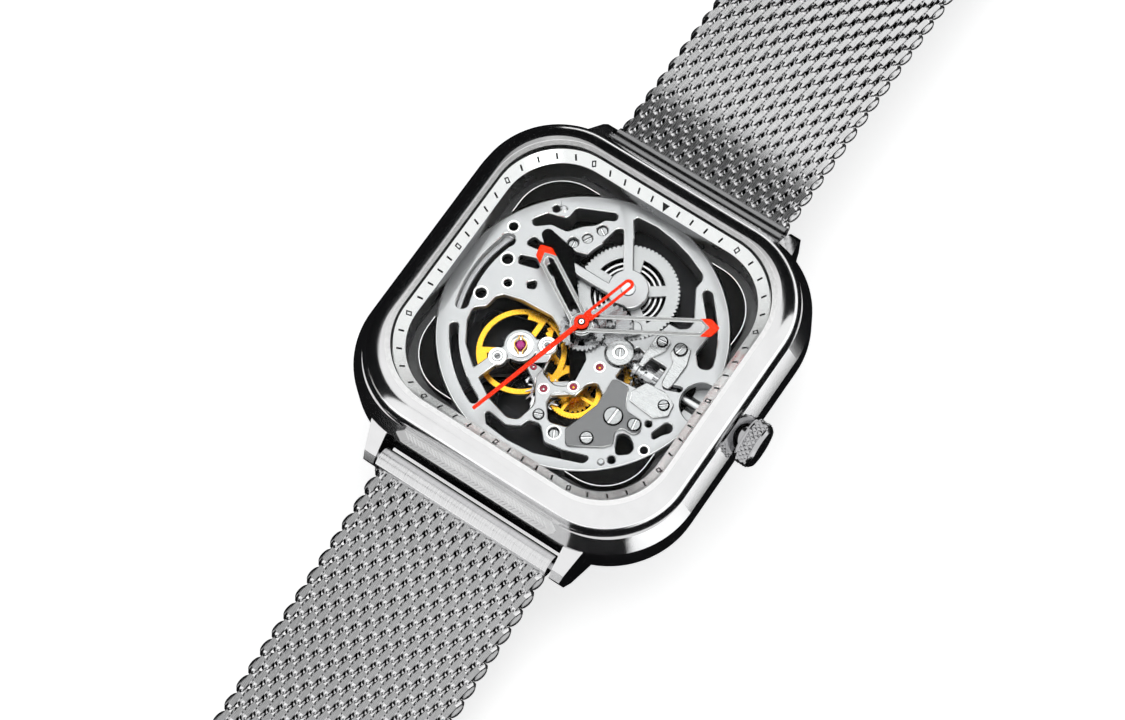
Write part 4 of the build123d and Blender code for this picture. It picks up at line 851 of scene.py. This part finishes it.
# ------------------------------------------------------------------ side grips
# A steel plate on each sloping flank between the lugs carries a rolled herringbone with a plain border. Its
# ridges lean one way above the middle line and the other way below it.
GRIP_PLACE = Vector((0, -19.375, 7.925)) * MM
GRIP_SLOPE = atan2(1.85, 1.05)
GRIP_FACE = Vector((0, -sin(GRIP_SLOPE), cos(GRIP_SLOPE))) * 0.15 * MM
GRIP_HALF = 0.72 * MM
RIDGE_SIZE = Vector((0.36, 1.6, 0.16)) * MM
RIDGE_TOP = 0.2
RIDGE_LEAN = 40
RIDGE_OFF = 0.35 * MM
RIDGE_STEP = 0.46 * MM
RIDGE_COUNT = 38

grip_steel = polished_metal("grip_steel", (0.95, 0.95, 0.95, 1), 0.34, 0.1)
dress(grip_steel, "side_grips")
for name, turn in (("herringbone_6", 0), ("herringbone_12", 180)):
    bpy.ops.object.select_all(action="DESELECT")
    bpy.ops.mesh.primitive_cube_add(size=1, location=(0, 0, 0))
    ridge = bpy.context.object
    ridge.name = name
    ridge.scale = RIDGE_SIZE
    bpy.ops.object.transform_apply(scale=True)
    for face in ridge.data.polygons:
        face.select = face.normal.z > 0.9
    bpy.ops.object.mode_set(mode="EDIT")
    bpy.ops.mesh.select_mode(type="FACE")
    bpy.ops.transform.resize(value=(RIDGE_TOP, 1, 1))
    bpy.ops.object.mode_set(mode="OBJECT")
    ridge.rotation_euler.z = radians(RIDGE_LEAN)
    ridge.location = (-RIDGE_STEP * (RIDGE_COUNT - 1) / 2, RIDGE_OFF, 0)
    bpy.ops.object.transform_apply(location=True, rotation=True)
    modify(ridge, "ARRAY", count=RIDGE_COUNT, use_relative_offset=False, use_constant_offset=True,
           constant_offset_displace=(RIDGE_STEP, 0, 0))
    bpy.ops.object.mode_set(mode="EDIT")
    for level, side in ((0, -1), (GRIP_HALF, 1)):
        bpy.ops.mesh.select_all(action="SELECT")
        bpy.ops.mesh.bisect(plane_co=(0, level, 0), plane_no=(0, side, 0), use_fill=True, clear_outer=True)
    bpy.ops.object.mode_set(mode="OBJECT")
    modify(ridge, "MIRROR", use_axis=(False, True, False))
    ridge.rotation_euler.x = GRIP_SLOPE
    ridge.location = GRIP_PLACE + GRIP_FACE
    bpy.ops.object.transform_apply(location=True, rotation=True)
    ridge.rotation_euler.z = radians(turn)
    bpy.ops.object.transform_apply(rotation=True)
    ridge.data.materials.append(grip_steel)
    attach(ridge, "case")


# ------------------------------------------------------------------ crown
# The crown is turned from steel and screwed onto the winding stem. Its rim is knurled in diamonds for the
# fingers, and its end is polished.
CROWN_R = 2.42 * MM
CROWN_MID = 21.02 * MM
CROWN_STEM_Z = 6.5 * MM
KNURL_WIDTH = 1.45 * MM
DIAMONDS = 24
DIAMOND_RISE = 0.16 * MM

crown_steel = polished_metal("crown_steel", (0.55, 0.55, 0.56, 1), 0.12, 0.1)
dress(crown_steel, "crown")
around = 2 * pi * CROWN_R
cell = around / DIAMONDS / 2 ** 0.5
cells = 2 * int((around + KNURL_WIDTH) / 2 ** 0.5 / cell / 2 + 1)
bpy.ops.object.select_all(action="DESELECT")
bpy.ops.mesh.primitive_grid_add(x_subdivisions=cells, y_subdivisions=cells, size=cells * cell)
knurl = bpy.context.object
knurl.name = "crown_knurl"
knurl.rotation_euler.z = radians(45)
bpy.ops.object.transform_apply(rotation=True)
bpy.ops.object.mode_set(mode="EDIT")
for place, away in (((around / 2, 0, 0), (1, 0, 0)), ((-around / 2, 0, 0), (-1, 0, 0)),
                    ((0, KNURL_WIDTH / 2, 0), (0, 1, 0)), ((0, -KNURL_WIDTH / 2, 0), (0, -1, 0))):
    bpy.ops.mesh.select_all(action="SELECT")
    bpy.ops.mesh.bisect(plane_co=place, plane_no=away, clear_outer=True)
bpy.ops.mesh.select_all(action="SELECT")
bpy.ops.mesh.poke(offset=DIAMOND_RISE)
bpy.ops.object.mode_set(mode="OBJECT")
knurl.rotation_euler.x = radians(90)
bpy.ops.object.transform_apply(rotation=True)
modify(knurl, "SIMPLE_DEFORM", deform_method="BEND", deform_axis="Z", angle=radians(360))
knurl.location = (0, -CROWN_R, 0)
bpy.ops.object.transform_apply(location=True)
knurl.rotation_euler.y = radians(90)
knurl.location = (CROWN_MID, 0, CROWN_STEM_Z)
bpy.ops.object.transform_apply(location=True, rotation=True)
bpy.ops.object.mode_set(mode="EDIT")
bpy.ops.mesh.select_all(action="SELECT")
bpy.ops.mesh.remove_doubles(threshold=0.01 * MM)
bpy.ops.object.mode_set(mode="OBJECT")
knurl.data.materials.append(crown_steel)
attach(knurl, "crown_group")


# ------------------------------------------------------------------ strap ends and clasp
# A brushed tube closes each woven half at the case. The clasp is folded from one steel strip, with a cover
# that snaps shut over it.
STRIP_GRAIN = (9000, 400, 400)

strap_steel = brushed_metal("strap_steel", (0.82, 0.82, 0.825, 1), 0.14, STRIP_GRAIN, 0.2, 0.3)
dress(strap_steel, "strap_end_6", "catch_bar_12", "clasp_body", "clasp_cover")
# The tube at twelve is a darker copy of the same steel, painted shade
dress(brushed_metal("strap_steel_shaded", (0.3, 0.302, 0.305, 1), 0.14, STRIP_GRAIN, 0.2, 0.3), "strap_end_12")


# ------------------------------------------------------------------ woven mesh strap
# Each half is woven from flattened coils of steel wire, each wound through the one before it. Both faces are
# ground, so every turn ends in a flat leaf, and the coils' ends are welded into beads along the edges.
WIRE_R = 0.44 * MM
COIL_PITCH = 1.95 * MM
ROW_STEP = 1.1 * MM
GROUND_AT = 0.86 * MM
FIRST_ROW = 0.3 * MM
LONG_COIL = 11
SHORT_COIL = 10
# The wire is painted dark as shade between the two faces, up to this height from the middle
SHADED_BELOW = 0.5 * MM
# The beads: half sizes in millimetres, turn, and where they sit
BEAD = (0.4, 0.95, 0.52)
BEAD_TURN = -12
BEAD_SHIFT = 0.35 * MM
BEAD_LEVEL = 0.06 * MM
EDGE_AT = 10.25 * MM
# One turn of a coil in millimetres: over the top, round, back underneath and up again
TURN = ((0.0, 0.0, 0.56), (0.13, 0.66, 0.50), (0.25, 1.16, 0.20), (0.40, 1.18, -0.22), (0.68, 0.62, -0.50),
        (1.27, -0.62, -0.50), (1.55, -1.18, -0.22), (1.70, -1.16, 0.20), (1.82, -0.66, 0.50))
# The way each half lies, from the case outwards: its corners in millimetres along Y and Z, the radii of their
# bends, and how many pairs of a long and a short coil it has
UPPER_WAY = ((21.6, 3.7), (54.0, 3.5), (78.0, 0.0), (98.0, -5.99))
UPPER_BENDS = (80, 60)
UPPER_PAIRS = 34
LOWER_WAY = ((-21.6, 3.4), (-26.5, 1.4), (-52.0, -4.0), (-75.0, -5.9), (-134.0, -5.9))
LOWER_BENDS = (12, 90, 90)
LOWER_PAIRS = 50

wire_polish = polished_metal("wire_polish", (0.9, 0.9, 0.905, 1), 0.1, 0.1)
# the wire inside the weave, painted dark as the shade between its layers
wire_shaded_inside = polished_metal("wire_shaded_inside", (0.08, 0.08, 0.082, 1), 0.35, 0.2)
leaf_ground = brushed_metal("leaf_ground", (0.5, 0.502, 0.505, 1), 0.22, (12000, 900, 900), 0.22, 0.3)
# The upper half's leaves are a lighter copy of the same ground steel, painted light
leaf_ground_lit = brushed_metal("leaf_ground_lit", (0.85, 0.852, 0.855, 1), 0.22, (12000, 900, 900), 0.22, 0.3)


def coil(turns, along, leaf):
    # one coil right across the strap, ground flat above and below; both its ends are underneath
    line = bpy.data.curves.new("coil", "CURVE")
    line.dimensions = "3D"
    line.bevel_depth = WIRE_R
    line.bevel_resolution = 2
    line.twist_mode = "Z_UP"
    line.use_fill_caps = True
    points = [(x * MM + COIL_PITCH * (k - (turns - 1) / 2), y * MM + along, z * MM)
              for k in range(turns) for x, y, z in TURN]
    points = [(x - COIL_PITCH, y, z) for x, y, z in points[6:9]] + points[:-5]
    spline = line.splines.new("POLY")
    spline.points.add(len(points) - 1)
    for point, place in zip(spline.points, points):
        point.co = (*place, 1)
    row = bpy.data.objects.new("coil", line)
    bpy.context.scene.collection.objects.link(row)
    select(row)
    bpy.ops.object.convert(target="MESH")
    row = bpy.context.object
    bpy.ops.object.mode_set(mode="EDIT")
    for side in (1, -1):
        bpy.ops.mesh.select_all(action="SELECT")
        bpy.ops.mesh.bisect(plane_co=(0, 0, side * GROUND_AT), plane_no=(0, 0, side), use_fill=True, clear_outer=True)
    bpy.ops.object.mode_set(mode="OBJECT")
    for finish in (wire_polish, leaf, wire_shaded_inside):
        row.data.materials.append(finish)
    for face in row.data.polygons:
        face.select = abs(face.normal.z) > 0.999 and abs(face.center.z) > 0.98 * GROUND_AT
        face.material_index = 1 if face.select else 2 if abs(face.center.z) < SHADED_BELOW else 0
    bpy.ops.object.mode_set(mode="EDIT")
    bpy.ops.mesh.select_mode(type="FACE")
    bpy.ops.mesh.region_to_loop()
    bpy.ops.mesh.mark_sharp()
    bpy.ops.object.mode_set(mode="OBJECT")
    bpy.ops.object.shade_smooth_by_angle(angle=radians(75), keep_sharp_edges=True)
    return row


def selvedge(leaf):
    # the welded beads at the ends of the long coil, one at each side of the strap
    beads = []
    for side in (1, -1):
        bpy.ops.object.select_all(action="DESELECT")
        bpy.ops.mesh.primitive_uv_sphere_add(segments=16, ring_count=10, radius=MM)
        bead = bpy.context.object
        bead.scale = BEAD
        bead.rotation_euler.z = radians(BEAD_TURN)
        bead.location = (side * EDGE_AT, side * BEAD_SHIFT + FIRST_ROW, BEAD_LEVEL)
        bpy.ops.object.transform_apply(location=True, rotation=True, scale=True)
        bpy.ops.object.shade_smooth_by_angle(angle=radians(75))
        bead.data.materials.append(leaf)
        beads.append(bead)
    return beads


def lie_of(name, corners, bends):
    # the middle line that a strap half follows, straight between its bends
    line = bpy.data.curves.new(name, "CURVE")
    line.dimensions = "3D"
    line.twist_mode = "Z_UP"
    line.resolution_u = 16
    corners = [Vector((0, y, z)) * MM for y, z in corners]
    knots = [(corners[0], corners[0])]
    for before, corner, after, bend in zip(corners, corners[1:], corners[2:], bends):
        into, out = (corner - before).normalized(), (after - corner).normalized()
        reach = bend * MM * (1 - into.dot(out)) / into.cross(out).length
        knots += [(corner - reach * into, corner), (corner + reach * out, corner)]
    knots += [(corners[-1], corners[-1])]
    spline = line.splines.new("BEZIER")
    spline.bezier_points.add(len(knots) - 1)
    for k, (point, (place, corner)) in enumerate(zip(spline.bezier_points, knots)):
        pull = (corner - place) * 2 / 3
        point.handle_left_type = point.handle_right_type = "FREE"
        point.co = place
        point.tilt = radians(90)
        point.handle_left = place + pull if k % 2 == 0 and k else place
        point.handle_right = place + pull if k % 2 else place
    path = bpy.data.objects.new(name, line)
    bpy.context.scene.collection.objects.link(path)
    return path


def weave(name, way, bends, pairs, leaf, body, node):
    # pairs of coils laid side by side along the strap, then bent to the way it lies
    select(coil(LONG_COIL, FIRST_ROW, leaf), coil(SHORT_COIL, FIRST_ROW + ROW_STEP, leaf), *selvedge(leaf))
    bpy.ops.object.join()
    half = bpy.context.object
    half.name = name
    modify(half, "ARRAY", count=pairs, use_relative_offset=False, use_constant_offset=True,
           constant_offset_displace=(0, 2 * ROW_STEP, 0))
    path = lie_of(name + "_way", way, bends)
    modify(half, "CURVE", object=path, deform_axis="POS_Y")
    bpy.data.objects.remove(path)
    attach(half, body)
    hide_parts(node)


weave("woven_mesh_12", UPPER_WAY, UPPER_BENDS, UPPER_PAIRS, leaf_ground_lit, "strap_upper", "mesh_12")
weave("woven_mesh_6", LOWER_WAY, LOWER_BENDS, LOWER_PAIRS, leaf_ground, "strap_lower", "mesh_6")
